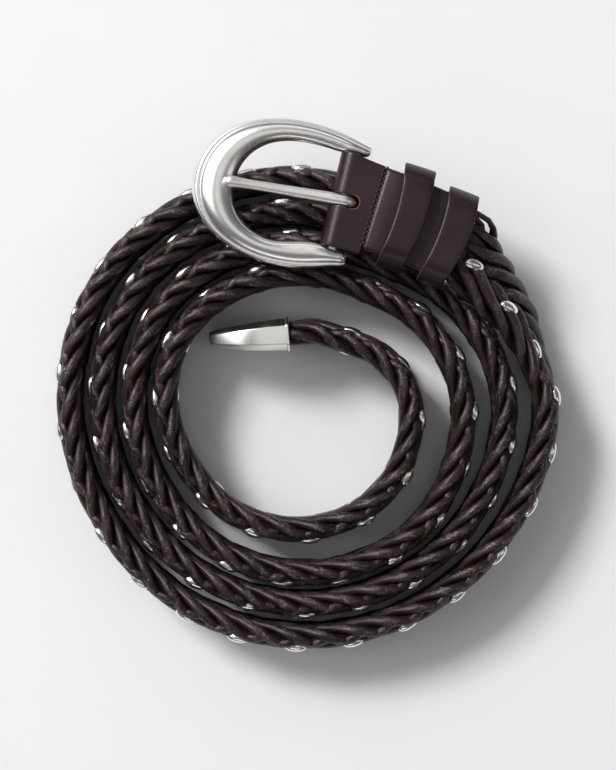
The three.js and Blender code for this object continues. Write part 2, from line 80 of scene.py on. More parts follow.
class Bench:
    # makes any node: its settings first, then the values or wires of its sockets
    def __init__(self, tree):
        self.tree = tree

    def node(self, kind, settings=None, sockets=None, out=0):
        made = self.tree.nodes.new(kind)
        for key, value in (settings or {}).items():
            if key == "stops":
                ramp = made.color_ramp
                while len(ramp.elements) < len(value):
                    ramp.elements.new(0.5)
                for stop, (place, shade) in zip(ramp.elements, value):
                    stop.position = place
                    stop.color = (*shade, 1.0) if len(shade) == 3 else shade
            else:
                setattr(made, key, value)
        for key, value in (sockets or {}).items():
            target = self.pick(made.inputs, key)
            if isinstance(value, Wire):
                self.tree.links.new(value.socket, target)
            else:
                target.default_value = value
        return Wire(self, self.pick(made.outputs, out))

    def pick(self, sockets, key):
        if isinstance(key, int):
            return sockets[key]
        named = [s for s in sockets if s.identifier == key] or [s for s in sockets if s.name == key and s.enabled]
        return named[0]


class Finish(Bench):
    def __init__(self, name):
        self.material = bpy.data.materials.new(name)
        self.material.use_nodes = True
        super().__init__(self.material.node_tree)
        self.tree.nodes.clear()
        self.place = self.node("ShaderNodeTexCoord", out="Object")

    def attribute(self, name, out="Fac"):
        return self.node("ShaderNodeAttribute", {"attribute_name": name}, out=out)

    def noise(self, where, scale, detail=3.0, rough=0.55):
        sockets = {"Vector": where, "Scale": scale, "Detail": detail, "Roughness": rough}
        return self.node("ShaderNodeTexNoise", None, sockets, "Fac")

    def cells(self, where, scale, feature="F1"):
        return self.node("ShaderNodeTexVoronoi", {"feature": feature}, {"Vector": where, "Scale": scale}, "Distance")

    def stretched(self, where, size):
        return self.node("ShaderNodeMapping", None, {"Vector": where, "Scale": size})

    def ramp(self, value, low, high):
        sockets = {"Value": value, "From Min": low, "From Max": high}
        return self.node("ShaderNodeMapRange", {"clamp": True, "interpolation_type": "SMOOTHSTEP"}, sockets)

    def blend(self, share, first, second):
        sockets = {"Factor_Float": share, "A_Color": paint(first), "B_Color": paint(second)}
        return self.node("ShaderNodeMix", {"data_type": "RGBA"}, sockets, "Result_Color")

    def relief(self, height, depth, strength=1.0, under=None):
        sockets = {"Height": height, "Distance": depth, "Strength": strength}
        if under is not None:
            sockets["Normal"] = under
        return self.node("ShaderNodeBump", None, sockets)

    def close(self, **sockets):
        shader = self.node("ShaderNodeBsdfPrincipled", None, {k.replace("_", " "): v for k, v in sockets.items()})
        end = self.tree.nodes.new("ShaderNodeOutputMaterial")
        self.tree.links.new(shader.socket, end.inputs["Surface"])
        return self.material


def paint(shade):
    return (*shade, 1.0) if isinstance(shade, tuple) and len(shade) == 3 else shade


class Maker(Bench):
    # a geometry tree with named inputs
    def __init__(self, name, inputs):
        super().__init__(bpy.data.node_groups.new(name, "GeometryNodeTree"))
        face = self.tree.interface
        face.new_socket("Geometry", in_out="INPUT", socket_type="NodeSocketGeometry")
        face.new_socket("Geometry", in_out="OUTPUT", socket_type="NodeSocketGeometry")
        for label, kind in inputs.items():
            face.new_socket(label, in_out="INPUT", socket_type="NodeSocket" + kind)
        self.group = self.tree.nodes.new("NodeGroupInput")

    def given(self, label):
        return Wire(self, self.group.outputs[label])

    def attribute(self, name, kind="FLOAT"):
        return self.node("GeometryNodeInputNamedAttribute", {"data_type": kind}, {"Name": name}, "Attribute")

    def store(self, geometry, name, value, kind="FLOAT"):
        sockets = {"Geometry": geometry, "Name": name, "Value": value}
        return self.node("GeometryNodeStoreNamedAttribute", {"data_type": kind, "domain": "POINT"}, sockets)

    def finish(self, geometry, material):
        whole = self.node("GeometryNodeRealizeInstances", None, {"Geometry": geometry})
        smooth = self.node("GeometryNodeSetShadeSmooth", None, {"Geometry": whole})
        coated = self.node("GeometryNodeSetMaterial", None, {"Geometry": smooth, "Material": material})
        end = self.tree.nodes.new("NodeGroupOutput")
        self.tree.links.new(coated.socket, end.inputs[0])

    def run(self, start, name, values):
        worker = start.modifiers.new(name, "NODES")
        worker.node_group = self.tree
        for item in self.tree.interface.items_tree:
            if item.in_out == "INPUT" and item.name in values:
                worker[item.identifier] = values[item.name]
        graph = bpy.context.evaluated_depsgraph_get()
        mesh = bpy.data.meshes.new_from_object(start.evaluated_get(graph))
        mesh.name = name
        start.modifiers.remove(worker)
        bpy.data.objects.remove(start)
        return place(name, mesh)


# Meshes

def place(name, mesh):
    made = bpy.data.objects.new(name, mesh)
    bpy.context.scene.collection.objects.link(made)
    return made


def meshOf(name, points, faces, edges=()):
    mesh = bpy.data.meshes.new(name)
    mesh.from_pydata((np.asarray(points, dtype=float) * mm).tolist(), list(edges), faces)
    mesh.validate()
    return mesh


def mark(mesh, name, values, kind="FLOAT"):
    layer = mesh.attributes.new(name, kind, "POINT")
    field = "value" if kind == "FLOAT" else "vector"
    layer.data.foreach_set(field, np.asarray(values, dtype=float).ravel())


def skin(name, rings, looped=False, marks=None, material=None):
    # a closed skin through rings of points; its ends are closed by flat caps unless it is looped
    rings = np.asarray(rings, dtype=float)
    count, around = rings.shape[0], rings.shape[1]
    faces = []
    for i in range(count if looped else count - 1):
        a, b = i * around, ((i + 1) % count) * around
        for j in range(around):
            k = (j + 1) % around
            faces.append((a + j, a + k, b + k, b + j))
    if not looped:
        faces.append(tuple(reversed(range(around))))
        faces.append(tuple(range((count - 1) * around, count * around)))
    mesh = meshOf(name, rings.reshape(-1, 3), faces)
    for label, values in (marks or {}).items():
        mark(mesh, label, values)
    turnOutward(mesh)
    mesh.shade_smooth()
    if material:
        mesh.materials.append(material)
    return place(name, mesh)


def turnOutward(mesh):
    mesh.calc_loop_triangles()
    points = np.array([v.co[:] for v in mesh.vertices])
    corners = np.array([t.vertices[:] for t in mesh.loop_triangles])
    a, b, c = points[corners[:, 0]], points[corners[:, 1]], points[corners[:, 2]]
    volume = float((a * np.cross(b, c)).sum())
    if volume < 0:
        mesh.flip_normals()


def joined(name, parts):
    # several closed skins as one object
    bpy.ops.object.select_all(action="DESELECT")
    for part in parts:
        part.select_set(True)
    bpy.context.view_layer.objects.active = parts[0]
    bpy.ops.object.join()
    parts[0].name = name
    parts[0].data.name = name
    return parts[0]


def settle(thing):
    # applies the modifiers
    graph = bpy.context.evaluated_depsgraph_get()
    mesh = bpy.data.meshes.new_from_object(thing.evaluated_get(graph))
    thing.modifiers.clear()
    old = thing.data
    thing.data = mesh
    bpy.data.meshes.remove(old)
    thing.data.name = thing.name
    return thing


def roundedBox(halfWide, low, high, corner, cornerSteps=4, flatSteps=6):
    # outline of a strip of leather seen from its end: across and up, starting low on the left
    outline = []
    centres = [(-halfWide + corner, low + corner, 180), (halfWide - corner, low + corner, 270),
               (halfWide - corner, high - corner, 0), (-halfWide + corner, high - corner, 90)]
    for i, (x, y, turn) in enumerate(centres):
        for step in range(cornerSteps + 1):
            angle = math.radians(turn + 90 * step / cornerSteps)
            outline.append((x + corner * math.cos(angle), y + corner * math.sin(angle)))
        here, (nx, ny, nextTurn) = outline[-1], centres[(i + 1) % 4]
        ahead = math.radians(nextTurn)
        there = (nx + corner * math.cos(ahead), ny + corner * math.sin(ahead))
        steps = flatSteps if i in (0, 2) else 1
        for step in range(1, steps):
            outline.append(tuple(h + (t - h) * step / steps for h, t in zip(here, there)))
    return np.array(outline)


def between(rows, column, at, period=0.0):
    # value of a column between the rows, eased so that the curve has no corners
    count = len(rows)
    row = count - 1
    while row > 0 and rows[row][0] > at:
        row -= 1

    def pick(i):
        if period:
            turn = math.floor(i / count)
            held = rows[i - turn * count]
            return held[0] + turn * period, held[column]
        held = rows[min(max(i, 0), count - 1)]
        return held[0], held[column]

    x0, y0 = pick(row - 1)
    x1, y1 = pick(row)
    x2, y2 = pick(row + 1)
    x3, y3 = pick(row + 2)
    if x2 == x1:
        return y1
    t = (at - x1) / (x2 - x1)
    slopeIn = (y2 - y0) / (x2 - x0) * (x2 - x1)
    slopeOut = (y3 - y1) / (x3 - x1) * (x2 - x1)
    cubic = 2 * y1 - 2 * y2 + slopeIn + slopeOut
    square = 3 * y2 - 3 * y1 - 2 * slopeIn - slopeOut
    return ((cubic * t + square) * t + slopeIn) * t + y1


def mix(a, b, share):
    return a + (b - a) * share


# Finishes

tabColours = {"deep": (0.0115, 0.0045, 0.0068), "worn": (0.0185, 0.0085, 0.0115), "cut": (0.085, 0.06, 0.058),
              "raw": (0.21, 0.09, 0.062)}


def tabLeather(name="tabLeather"):
    f = Finish(name)
    patches = f.noise(f.place, 90.0, 4.0)
    colour = f.blend(f.ramp(patches, 0.35, 0.7), tabColours["deep"], tabColours["worn"])
    cut = f.attribute("cutEdge")
    fray = f.noise(f.place, 1500.0, 3.0)
    raw = f.ramp(cut + (fray - 0.5) * 0.5, 0.35, 0.8)
    colour = f.blend(raw * 0.9, colour, tabColours["cut"])
    slot = f.ramp(f.attribute("slotEdge") + (fray - 0.5) * 0.5, 0.3, 0.8)
    colour = f.blend(slot, colour, tabColours["raw"])
    grain = f.cells(f.place, 2600.0, "SMOOTH_F1")
    pores = f.noise(f.place, 4200.0, 2.0)
    creases = f.noise(f.stretched(f.place, (1.0, 2.2, 1.0)), 420.0, 5.0, 0.62)
    rough = 0.26 + patches * 0.12 + grain * 0.1 + raw * 0.25
    soft = f.relief(creases, 0.00006, 0.6)
    skinBump = f.relief(grain * 0.7 + pores * 0.5, 0.00003, 0.75, soft)
    return f.close(Base_Color=colour, Roughness=rough, Normal=skinBump, IOR=1.45, Specular_Tint=(1.0, 0.88, 0.92, 1.0))


# Some of these colours stand in for light: the crest colour is partly dust and partly a painted sheen, the flank colour
# is painted shade, and the speck colour is a painted glint of the grain
laceColours = {"crown": (0.026, 0.0125, 0.0132), "dustAndSheen": (0.064, 0.04, 0.0425), "side": (0.015, 0.006, 0.005),
               "shade": (0.007, 0.0035, 0.0037), "speck": (0.34, 0.28, 0.285)}


def laceLeather():
    f = Finish("laceLeather")
    coords = f.attribute("laceCoords", "Vector")
    around = f.attribute("laceRound", "Vector")
    parts = f.node("ShaderNodeSeparateXYZ", None, {"Vector": around}, "X")
    crown = f.node("ShaderNodeMath", {"operation": "ABSOLUTE"}, {0: parts})
    tone = f.attribute("laceTone")
    patches = f.noise(coords, 160.0, 4.0)
    colour = f.blend(f.ramp(patches + tone * 0.3, 0.35, 0.8), laceColours["shade"], laceColours["crown"])
    # partly dust and partly a painted sheen: the crests of the laces are lightened in patches
    scuffAndSheen = f.noise(f.stretched(coords, (0.5, 1.0, 1.0)), 700.0, 5.0, 0.7)
    crestDustAndSheen = f.ramp(scuffAndSheen, 0.46, 0.72) * f.ramp(crown, 0.35, 0.95)
    colour = f.blend(crestDustAndSheen * 0.75, colour, laceColours["dustAndSheen"])
    # painted shade: the flanks of each lace, where it lies against its neighbours, are darkened in patches towards the
    # side colour
    flankShade = (1.0 - f.ramp(crown, 0.15, 0.6)) * f.ramp(f.noise(coords, 420.0, 3.0), 0.3, 0.65)
    colour = f.blend(flankShade * 0.85, colour, laceColours["side"])
    # painted highlight: small bright glints of the grain on the crests of the laces
    paintedGlints = f.ramp(f.noise(coords, 3300.0, 2.0, 0.6), 0.52, 0.7) * f.ramp(scuffAndSheen, 0.38, 0.62)
    colour = f.blend(paintedGlints * f.ramp(crown, 0.3, 0.9) * 0.8, colour, laceColours["speck"])
    grain = f.cells(coords, 2600.0, "SMOOTH_F1")
    pits = f.noise(coords, 4200.0, 3.0, 0.65)
    wrinkles = f.noise(f.stretched(coords, (0.35, 1.0, 1.0)), 1100.0, 4.0, 0.6)
    rough = 0.25 + patches * 0.12 + pits * 0.15
    long = f.relief(wrinkles, 0.00016, 0.8)
    fine = f.relief(grain * 0.6 + pits * 0.8, 0.00008, 0.9, long)
    return f.close(Base_Color=colour, Roughness=rough, Normal=fine, IOR=1.45, Specular_Tint=(1.0, 0.9, 0.92, 1.0))


metalColours = {"bright": (0.93, 0.915, 0.90), "warm": (0.86, 0.83, 0.80), "tarnish": (0.36, 0.33, 0.31)}


def satinMetal(name, mattness=0.0):
    f = Finish(name)
    clouds = f.noise(f.place, 130.0, 4.0)
    colour = f.blend(f.ramp(clouds, 0.3, 0.75), metalColours["bright"], metalColours["warm"])
    groove = f.attribute("groove")
    grime = f.ramp(groove + (f.noise(f.place, 900.0, 3.0) - 0.5) * 0.4, 0.35, 1.0)
    colour = f.blend(grime * 0.6, colour, metalColours["tarnish"])
    scratches = f.noise(f.stretched(f.place, (1.0, 7.0, 3.0)), 1500.0, 3.0, 0.7)
    cross = f.noise(f.stretched(f.place, (6.0, 1.0, 3.0)), 1300.0, 3.0, 0.7)
    ripple = f.noise(f.place, 240.0, 2.0)
    rough = 0.13 + mattness + clouds * 0.06 + scratches * 0.06 + grime * 0.2
    broad = f.relief(ripple, 0.00005, 0.2)
    fine = f.relief(scratches * 0.6 + cross * 0.4, 0.000005, 0.3, broad)
    return f.close(Base_Color=colour, Metallic=1.0, Roughness=rough, Normal=fine)


def waxedThread():
    f = Finish("waxedThread")
    twist = f.noise(f.stretched(f.place, (1.0, 3.0, 1.0)), 2600.0, 4.0, 0.7)
    colour = f.blend(twist, (0.006, 0.004, 0.004), (0.035, 0.021, 0.019))
    return f.close(Base_Color=colour, Roughness=0.45 + twist * 0.2, Normal=f.relief(twist, 0.00006, 0.9))


def paleFloor():
    f = Finish("paleFloor")
    speck = f.noise(f.place, 35.0, 4.0)
    colour = f.blend(speck, (0.83, 0.828, 0.83), (0.86, 0.86, 0.862))
    return f.close(Base_Color=colour, Roughness=0.75 + speck * 0.1, Normal=f.relief(speck, 0.0001, 0.1))


finishes = {"tab": tabLeather(), "lace": laceLeather(), "metal": satinMetal("satinMetal", 0.07),
            "core": tabLeather("coreLeather"),
            "prong": satinMetal("prongMetal", 0.15),
            "stud": satinMetal("studMetal", 0.03), "thread": waxedThread(), "floor": paleFloor()}
print("belt: finishes ready")


# Where the strap runs. Seen from above it winds out of the tab, round the coil and back into the metal tip.

coil = {
    "radius": 62.0, "strapWidth": 21.6, "strapThickness": 6.2, "lean": 1.2, "pitch": 7.4,
    "start": 104.0, "hairpin": 20.0, "step": 12.0,
    "outer": [(0, 0.893), (30, 0.845), (60, 0.914), (90, 0.986), (120, 0.988), (150, 0.992), (180, 1.0), (210, 1.0),
              (240, 0.988), (270, 0.988), (300, 0.971), (330, 0.926)],
    "descent": [(52, 0.957, 0.86, 0.22, 0.8), (60, 0.955, 0.62, 0.42, 0.84), (70, 0.973, 0.3, 0.68, 0.91),
                (80, 0.976, 0.08, 0.88, 0.97), (92, 1.0, 0.0, 1.0, 1.0)],
    "inner": [(0, 1.18), (60, 1.12), (230, 1.15), (290, 1.45), (350, 1.76), (385, 2.2), (590, 2.21), (650, 2.87),
              (710, 2.85), (745, 3.25), (830, 3.28), (950, 3.89), (1010, 4.7), (1068, 4.75)],
    "capBack": 1116.4, "capSteps": 5.34, "capHeading": 184.2,
}

buckleEnd = {
    "barAngle": 10.4, "barOut": 0.799, "heading": -13.5, "barHeight": 25.2, "loopRadius": 1.8,
    "coilTop": 21.9, "leather": 1.5, "tabWidth": 22.8, "tabWall": 1.2, "tabLength": 29.0, "tabCurve": 125.0,
    "tabFloor": 23.7, "tabBody": 5.4, "tabNeck": 3.0, "loopReach": 7.6, "bind": 2.4,
    "bindShares": (0.45, 0.65, 0.85, 1.0, 1.06), "drawIn": 1.7, "drawInOver": 5.5,
}

tip = {"length": 20.3, "wall": 0.8, "flare": 0.4, "endThickness": 3.8, "hold": 12.0, "run": 7.2, "mouthShare": 0.9,
       "noseDrop": 5.0}


def polar(angle, radius, height):
    turn = math.radians(angle)
    return np.array([radius * math.sin(turn), radius * math.cos(turn), height])


def outerRadius(angle):
    return coil["radius"] * between(coil["outer"], 1, angle % 360, 360)


def alongTab(along, across, height):
    # a point of the buckle end in its own axes, following the tab's bend
    turned = max(along, 0) / buckleEnd["tabCurve"]
    if along < 0:
        x, y = along, 0.0
    else:
        x = buckleEnd["tabCurve"] * math.sin(turned)
        y = -buckleEnd["tabCurve"] * (1 - math.cos(turned))
    return (x + across * math.sin(turned), y + across * math.cos(turned), height)


def drawnIn(across, along):
    # the leather's upper edge draws in along the tab
    if across <= 0:
        return across
    pull = buckleEnd["drawIn"] * (1 - math.exp(-max(along, 0) / buckleEnd["drawInOver"]))
    return across * (1 - pull / (buckleEnd["tabWidth"] / 2))


heading = math.radians(buckleEnd["heading"])
barSpot = polar(buckleEnd["barAngle"], coil["radius"] * buckleEnd["barOut"], 0.0)


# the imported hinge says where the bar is, and with it where the coil's axis is
hinge = np.array(frame["record"]["behaviour"]["joints"][0]["pos_m"]) / mm
coilShift = np.array([hinge[0] - barSpot[0], hinge[1] - barSpot[1], 0.0])


def fromBuckle(point):
    # from the buckle end's axes to the coil's
    x, y, z = point
    return np.array([barSpot[0] + x * math.cos(heading) - y * math.sin(heading),
                     barSpot[1] + x * math.sin(heading) + y * math.cos(heading), z])


def moved(points):
    return np.asarray(points, dtype=float) + coilShift


def onBuckle(x, y, z):
    return moved(fromBuckle((x, y, z)))


def onTab(along, across, height):
    return moved(fromBuckle(alongTab(along, across, height)))


def innerPlace(back, height, steps=None):
    angle = 360 + coil["hairpin"] - back
    away = between(coil["inner"], 1, back) if steps is None else steps
    return polar(angle, outerRadius(angle) - away * coil["pitch"], height)


capMouth = innerPlace(coil["capBack"], 0.0, coil["capSteps"])
capAhead = np.array([math.cos(math.radians(coil["capHeading"])), math.sin(math.radians(coil["capHeading"])), 0.0])


def strapKnots():
    knots = []

    def knot(where, roll, lean, thick, wide):
        knots.append((np.array(where, dtype=float), roll, lean, thick, wide))

    b = buckleEnd
    middle = b["tabFloor"] + b["tabBody"] / 2
    half = coil["strapWidth"] / 2
    bindWide = (b["tabWidth"] - 2 * (b["tabWall"] + 0.3)) / coil["strapWidth"]
    bindThick = b["bind"] / coil["strapThickness"]
    for share in b["bindShares"]:
        knot(fromBuckle(alongTab(b["tabLength"] * share, 0, middle)), 0, 0, bindThick, bindWide)
    for angle, out, height, roll, wide in coil["descent"]:
        knot(polar(angle, outerRadius(angle) * out, half + (middle - half) * height), roll, -roll, 1, wide)
    last = 360 + coil["hairpin"]
    turns = round((last - coil["start"]) / coil["step"])
    for i in range(turns + 1):
        angle = coil["start"] + (last - coil["start"]) * i / turns
        knot(polar(angle, outerRadius(angle), half), 1, -1, 1, 1)
    first, final = polar(last, outerRadius(last), half), innerPlace(0, half)
    centre, out = (first + final) / 2, (first - final) / 2
    ahead = polar(last + 90, np.linalg.norm(out), 0)
    for degrees in (36, 72, 108, 144):
        turn = math.radians(degrees)
        knot(centre + out * math.cos(turn) + ahead * math.sin(turn), 1, degrees / 90 - 1, 1, 1)
    knot(final, 1, 1, 1, 1)
    lastBack = coil["inner"][-1][0]
    turns = round(lastBack / coil["step"])
    for i in range(1, turns + 1):
        knot(innerPlace(lastBack * i / turns, half), 1, 1, 1, 1)
    coreEnd = (tip["endThickness"] - 2 * (tip["wall"] + 0.3)) / coil["strapThickness"]
    endThick = mix(tip["mouthShare"], coreEnd, tip["hold"] / tip["length"])
    boundWide = 1 - 2 * (tip["wall"] + 0.3) / coil["strapWidth"]
    lift = np.array([0, 0, half])
    knot(capMouth - capAhead * tip["run"] + lift, 1, 1, 1, 1)
    knot(capMouth - capAhead * 0.6 + lift, 1, 1, tip["mouthShare"], boundWide)
    knot(capMouth + capAhead * tip["hold"] + lift, 1, 1, endThick, boundWide)
    return knots


def smoothRoute(points, samples=24):
    # centripetal curve through the knots, with its samples' knot numbers
    places, numbers = [], []
    count = len(points)
    for i in range(count - 1):
        p1, p2 = points[i], points[i + 1]
        p0 = points[i - 1] if i > 0 else 2 * p1 - p2
        p3 = points[i + 2] if i + 2 < count else 2 * p2 - p1
        d0, d1, d2 = (math.sqrt(np.linalg.norm(b - a)) for a, b in ((p0, p1), (p1, p2), (p2, p3)))
        t1 = ((p1 - p0) / d0 - (p2 - p0) / (d0 + d1) + (p2 - p1) / d1) * d1
        t2 = ((p2 - p1) / d1 - (p3 - p1) / (d1 + d2) + (p3 - p2) / d2) * d1
        steps = samples if i < count - 2 else samples + 1
        for k in range(steps):
            w = k / samples
            places.append(p1 + t1 * w + (3 * (p2 - p1) - 2 * t1 - t2) * w * w + (2 * (p1 - p2) + t1 + t2) * w ** 3)
            numbers.append(i + w)
    return np.array(places), np.array(numbers)


class Strap:
    # the strap's middle line with its own directions, measured along it
    def __init__(self):
        knots = strapKnots()
        self.middle, numbers = smoothRoute([k[0] for k in knots])
        steps = np.linalg.norm(np.diff(self.middle, axis=0), axis=1)
        self.along = np.concatenate([[0.0], np.cumsum(steps)]) + buckleEnd["tabLength"] * buckleEnd["bindShares"][0]
        self.middle[:, 2] = np.maximum(self.middle[:, 2], coil["strapWidth"] / 2)
        ahead = np.gradient(self.middle, self.along, axis=0)
        self.ahead = ahead / np.linalg.norm(ahead, axis=1, keepdims=True)
        left = np.cross([0.0, 0.0, 1.0], self.ahead)
        self.left = left / np.linalg.norm(left, axis=1, keepdims=True)
        rise = np.cross(self.ahead, self.left)
        order = np.arange(len(knots))
        roll, lean, thick, wide = (np.interp(numbers, order, [k[c] for k in knots]) for c in (1, 2, 3, 4))
        turn = np.radians(90 * roll)[:, None]
        self.face = rise * np.cos(turn) + self.left * np.sin(turn)
        self.edge = rise * np.sin(turn) - self.left * np.cos(turn)
        self.lean = lean * coil["lean"]
        self.thick = thick
        self.wide = wide

    def at(self, field, along):
        values = getattr(self, field)
        if values.ndim == 1:
            return np.interp(along, self.along, values)
        return np.stack([np.interp(along, self.along, values[:, c]) for c in range(3)], axis=1)

    def point(self, along, out, over):
        # out of the face and towards the upper edge
        shear = self.at("lean", along) * (over / coil["strapWidth"] + 0.5)
        place = self.at("middle", along) + self.at("face", along) * out[:, None]
        return place + self.at("edge", along) * over[:, None] + self.at("left", along) * shear[:, None]


strap = Strap()
print("belt: strap is", round(float(strap.along[-1])), "mm long")


# The braid: each lace runs a flat figure of eight across the strap

braid = {
    "laces": 9, "repeat": 75.0, "laceWidth": 2.9, "laceThickness": 2.35, "faceDepth": 1.8, "edgeInset": 1.15,
    "corner": 0.967, "swap": 1.25, "faceSwell": 0.24, "sides": 10, "step": 1.65, "looseness": 0.28, "seed": 11,
    "coreThickness": 1.5, "coreInset": 3.4,
}


def wander(along, seed, length):
    # slow random drift between -1 and 1
    rng = random.Random(seed)
    return sum(rng.uniform(0.5, 1.0) * np.sin(along / (length * rng.uniform(0.6, 1.6)) + rng.uniform(0, 6.3))
               for _ in range(3)) / 2.2


def lacePath(number):
    b = braid
    start, end = buckleEnd["tabLength"] * 0.86, strap.along[-1] - tip["hold"] * 0.45
    along = np.arange(start, end, b["step"])
    seed = b["seed"] + number * 17
    phase = along / b["repeat"] + number / b["laces"] + 0.007 * wander(along, seed, 24)
    thick, wide = strap.at("thick", along), strap.at("wide", along)
    reach = wide * coil["strapWidth"] / 2 - b["edgeInset"] * np.clip(thick, 0.5, 1)
    swing = np.arcsin(b["corner"] * np.cos(2 * math.pi * phase)) / math.asin(b["corner"])
    over = -swing * (reach + 0.18 * wander(along, seed + 3, 7))
    wave = np.sin(4 * math.pi * phase)
    centre = 1 - swing ** 2
    onFace = np.clip((centre - 0.25) / 0.6, 0, 1)
    out = -np.tanh(b["swap"] * (1 + onFace) * wave) / math.tanh(b["swap"])
    out = out * thick * (b["faceDepth"] - 0.25 * onFace + b["looseness"] * 0.5 * wander(along, seed + 5, 5))
    place = strap.point(along, out, over)
    flip = np.clip(np.sin(2 * math.pi * phase) / 0.5, -1, 1)
    turn = np.radians(90 * (1 - np.sin(flip * math.pi / 2)))[:, None]
    normal = strap.at("face", along) * np.cos(turn) + strap.at("edge", along) * np.sin(turn)
    ahead = np.gradient(place, axis=0)
    ahead /= np.linalg.norm(ahead, axis=1, keepdims=True)
    normal -= ahead * (normal * ahead).sum(axis=1, keepdims=True)
    normal /= np.linalg.norm(normal, axis=1, keepdims=True)
    swell = 1 + b["faceSwell"] * onFace + 0.06 * wander(along, seed + 7, 11)
    scale = np.clip(thick, 0.42, 1) ** 0.8 * swell
    place[:, 2] = np.maximum(place[:, 2], b["laceThickness"] / 2 * scale)  # none of it under the floor
    crossings = along[:-1][np.diff(np.floor(phase + 0.5)) > 0]
    return along, moved(place), normal, scale, crossings


leaf = {"middle": 5.6, "reach": 4.1, "out": 1.4, "slant": 1.05, "depth": 0.75, "size": 0.82, "points": 9}


def sideLeaf(crossing, seed):
    # on the rings a second, smaller lace comes up the outer face and dives under the next one
    q = leaf
    way = float(np.sign(strap.at("lean", np.array([crossing]))[0]))
    rng = random.Random(seed)
    u = np.linspace(-1, 1, q["points"])
    along = crossing + way * (q["middle"] + rng.uniform(-0.4, 0.4) + u * q["reach"])
    thick = strap.at("thick", along)
    out = -way * thick * (q["out"] + rng.uniform(-0.15, 0.2) - q["slant"] * u)
    depth = q["depth"] + rng.uniform(-0.2, 0.2) + np.where(u < 0, 2.5, 1.9) * u ** 2
    over = strap.at("wide", along) * coil["strapWidth"] / 2 - braid["edgeInset"] - depth
    normal = strap.at("edge", along) * 0.85 - way * strap.at("face", along) * 0.5
    normal /= np.linalg.norm(normal, axis=1, keepdims=True)
    scale = q["size"] * thick * (1 - 0.45 * np.abs(u) ** 2.5)
    return along, moved(strap.point(along, out, over)), normal, scale


def braidTree():
    m = Maker("braidTree", {"Lace width": "Float", "Lace thickness": "Float", "Sides": "Int", "Material": "Material"})
    curve = m.node("GeometryNodeMeshToCurve", None, {"Mesh": Wire(m, m.group.outputs["Geometry"])})
    curve = m.node("GeometryNodeSetCurveNormal", {"mode": "FREE"},
                   {"Curve": curve, "Normal": m.attribute("laceNormal", "FLOAT_VECTOR")})
    ring = m.node("GeometryNodeCurvePrimitiveCircle", None, {"Resolution": m.given("Sides"), "Radius": 1.0}, "Curve")
    ring = m.store(ring, "laceRound", m.node("GeometryNodeInputPosition"), "FLOAT_VECTOR")
    size = m.node("ShaderNodeCombineXYZ", None,
                  {"X": m.given("Lace thickness") * 0.5, "Y": m.given("Lace width") * 0.5, "Z": 1.0})
    ring = m.node("GeometryNodeTransform", None, {"Geometry": ring, "Scale": size})
    swept = m.node("GeometryNodeCurveToMesh", None,
                   {"Curve": curve, "Profile Curve": ring, "Scale": m.attribute("laceScale"), "Fill Caps": True})
    parts = m.attribute("laceRound", "FLOAT_VECTOR")
    acrossPart = m.node("ShaderNodeSeparateXYZ", None, {"Vector": parts}, "Y")
    upPart = m.node("ShaderNodeSeparateXYZ", None, {"Vector": parts}, "X")
    coords = m.node("ShaderNodeCombineXYZ", None,
                    {"X": m.attribute("laceAlong"), "Y": acrossPart * m.given("Lace width") * 0.5,
                     "Z": upPart * m.given("Lace thickness") * 0.5})
    swept = m.store(swept, "laceCoords", coords, "FLOAT_VECTOR")
    m.finish(swept, m.given("Material"))
    return m


def makeBraid():
    points, edges, normals, scales, alongs, tones = [], [], [], [], [], []

    def add(along, spots, normal, scale, number):
        first = len(points)
        points.extend(spots)
        edges.extend((first + i, first + i + 1) for i in range(len(spots) - 1))
        normals.extend(normal)
        scales.extend(scale)
        alongs.extend(along * mm + number * 1.7)
        tones.extend(wander(along, 900 + number, 60))

    for number in range(braid["laces"]):
        along, spots, normal, scale, crossings = lacePath(number)
        add(along, spots, normal, scale, number)
        for i, crossing in enumerate(crossings):
            upright = abs(strap.at("lean", np.array([crossing - 9, crossing + 9]))).min() > 0.85 * coil["lean"]
            if upright and crossing < strap.along[-1] - tip["hold"] - tip["run"] - 4:
                add(*sideLeaf(crossing, number * 40 + i), number + 0.5)
    mesh = meshOf("laceRoute", points, [], edges)
    mark(mesh, "laceNormal", normals, "FLOAT_VECTOR")
    mark(mesh, "laceScale", scales)
    mark(mesh, "laceAlong", alongs)
    mark(mesh, "laceTone", tones)
    values = {"Lace width": braid["laceWidth"] * mm, "Lace thickness": braid["laceThickness"] * mm,
              "Sides": braid["sides"], "Material": finishes["lace"]}
    return braidTree().run(place("laceRoute", mesh), "braid", values)


def makeCore():
    # the flat dark filling that the laces are plaited round
    b = braid
    along = np.arange(buckleEnd["tabLength"] * 0.9, strap.along[-1] - tip["hold"] * 0.5, 3.0)
    thick, wide = strap.at("thick", along), strap.at("wide", along)
    half = wide * coil["strapWidth"] / 2 - b["coreInset"]
    corners = [(-1, -0.8), (-0.4, -1), (0.4, -1), (1, -0.8), (1, 0), (1, 0.8), (0.4, 1), (-0.4, 1), (-1, 0.8), (-1, 0)]
    columns = [moved(strap.point(along, out * thick * b["coreThickness"] / 2, over * half)) for out, over in corners]
    return skin("braidCore", np.stack(columns, axis=1), material=finishes["core"])


braidPiece = joined("braid", [makeBraid(), makeCore()])
print("belt: braid has", len(braidPiece.data.polygons), "faces")


# Studs: oval domes along both faces of the braid. The first two lie slanted.

studs = {"first": 36.8, "pitch": 14.2, "length": 5.8, "width": 3.1, "rise": 1.25, "proud": 0.5, "outerProud": 0.75,
         "outerLift": 6.9, "firstTurns": (-0.7, -0.42), "innerLift": 2.5, "outerTilt": 0.55, "segments": 12, "rings": 7}


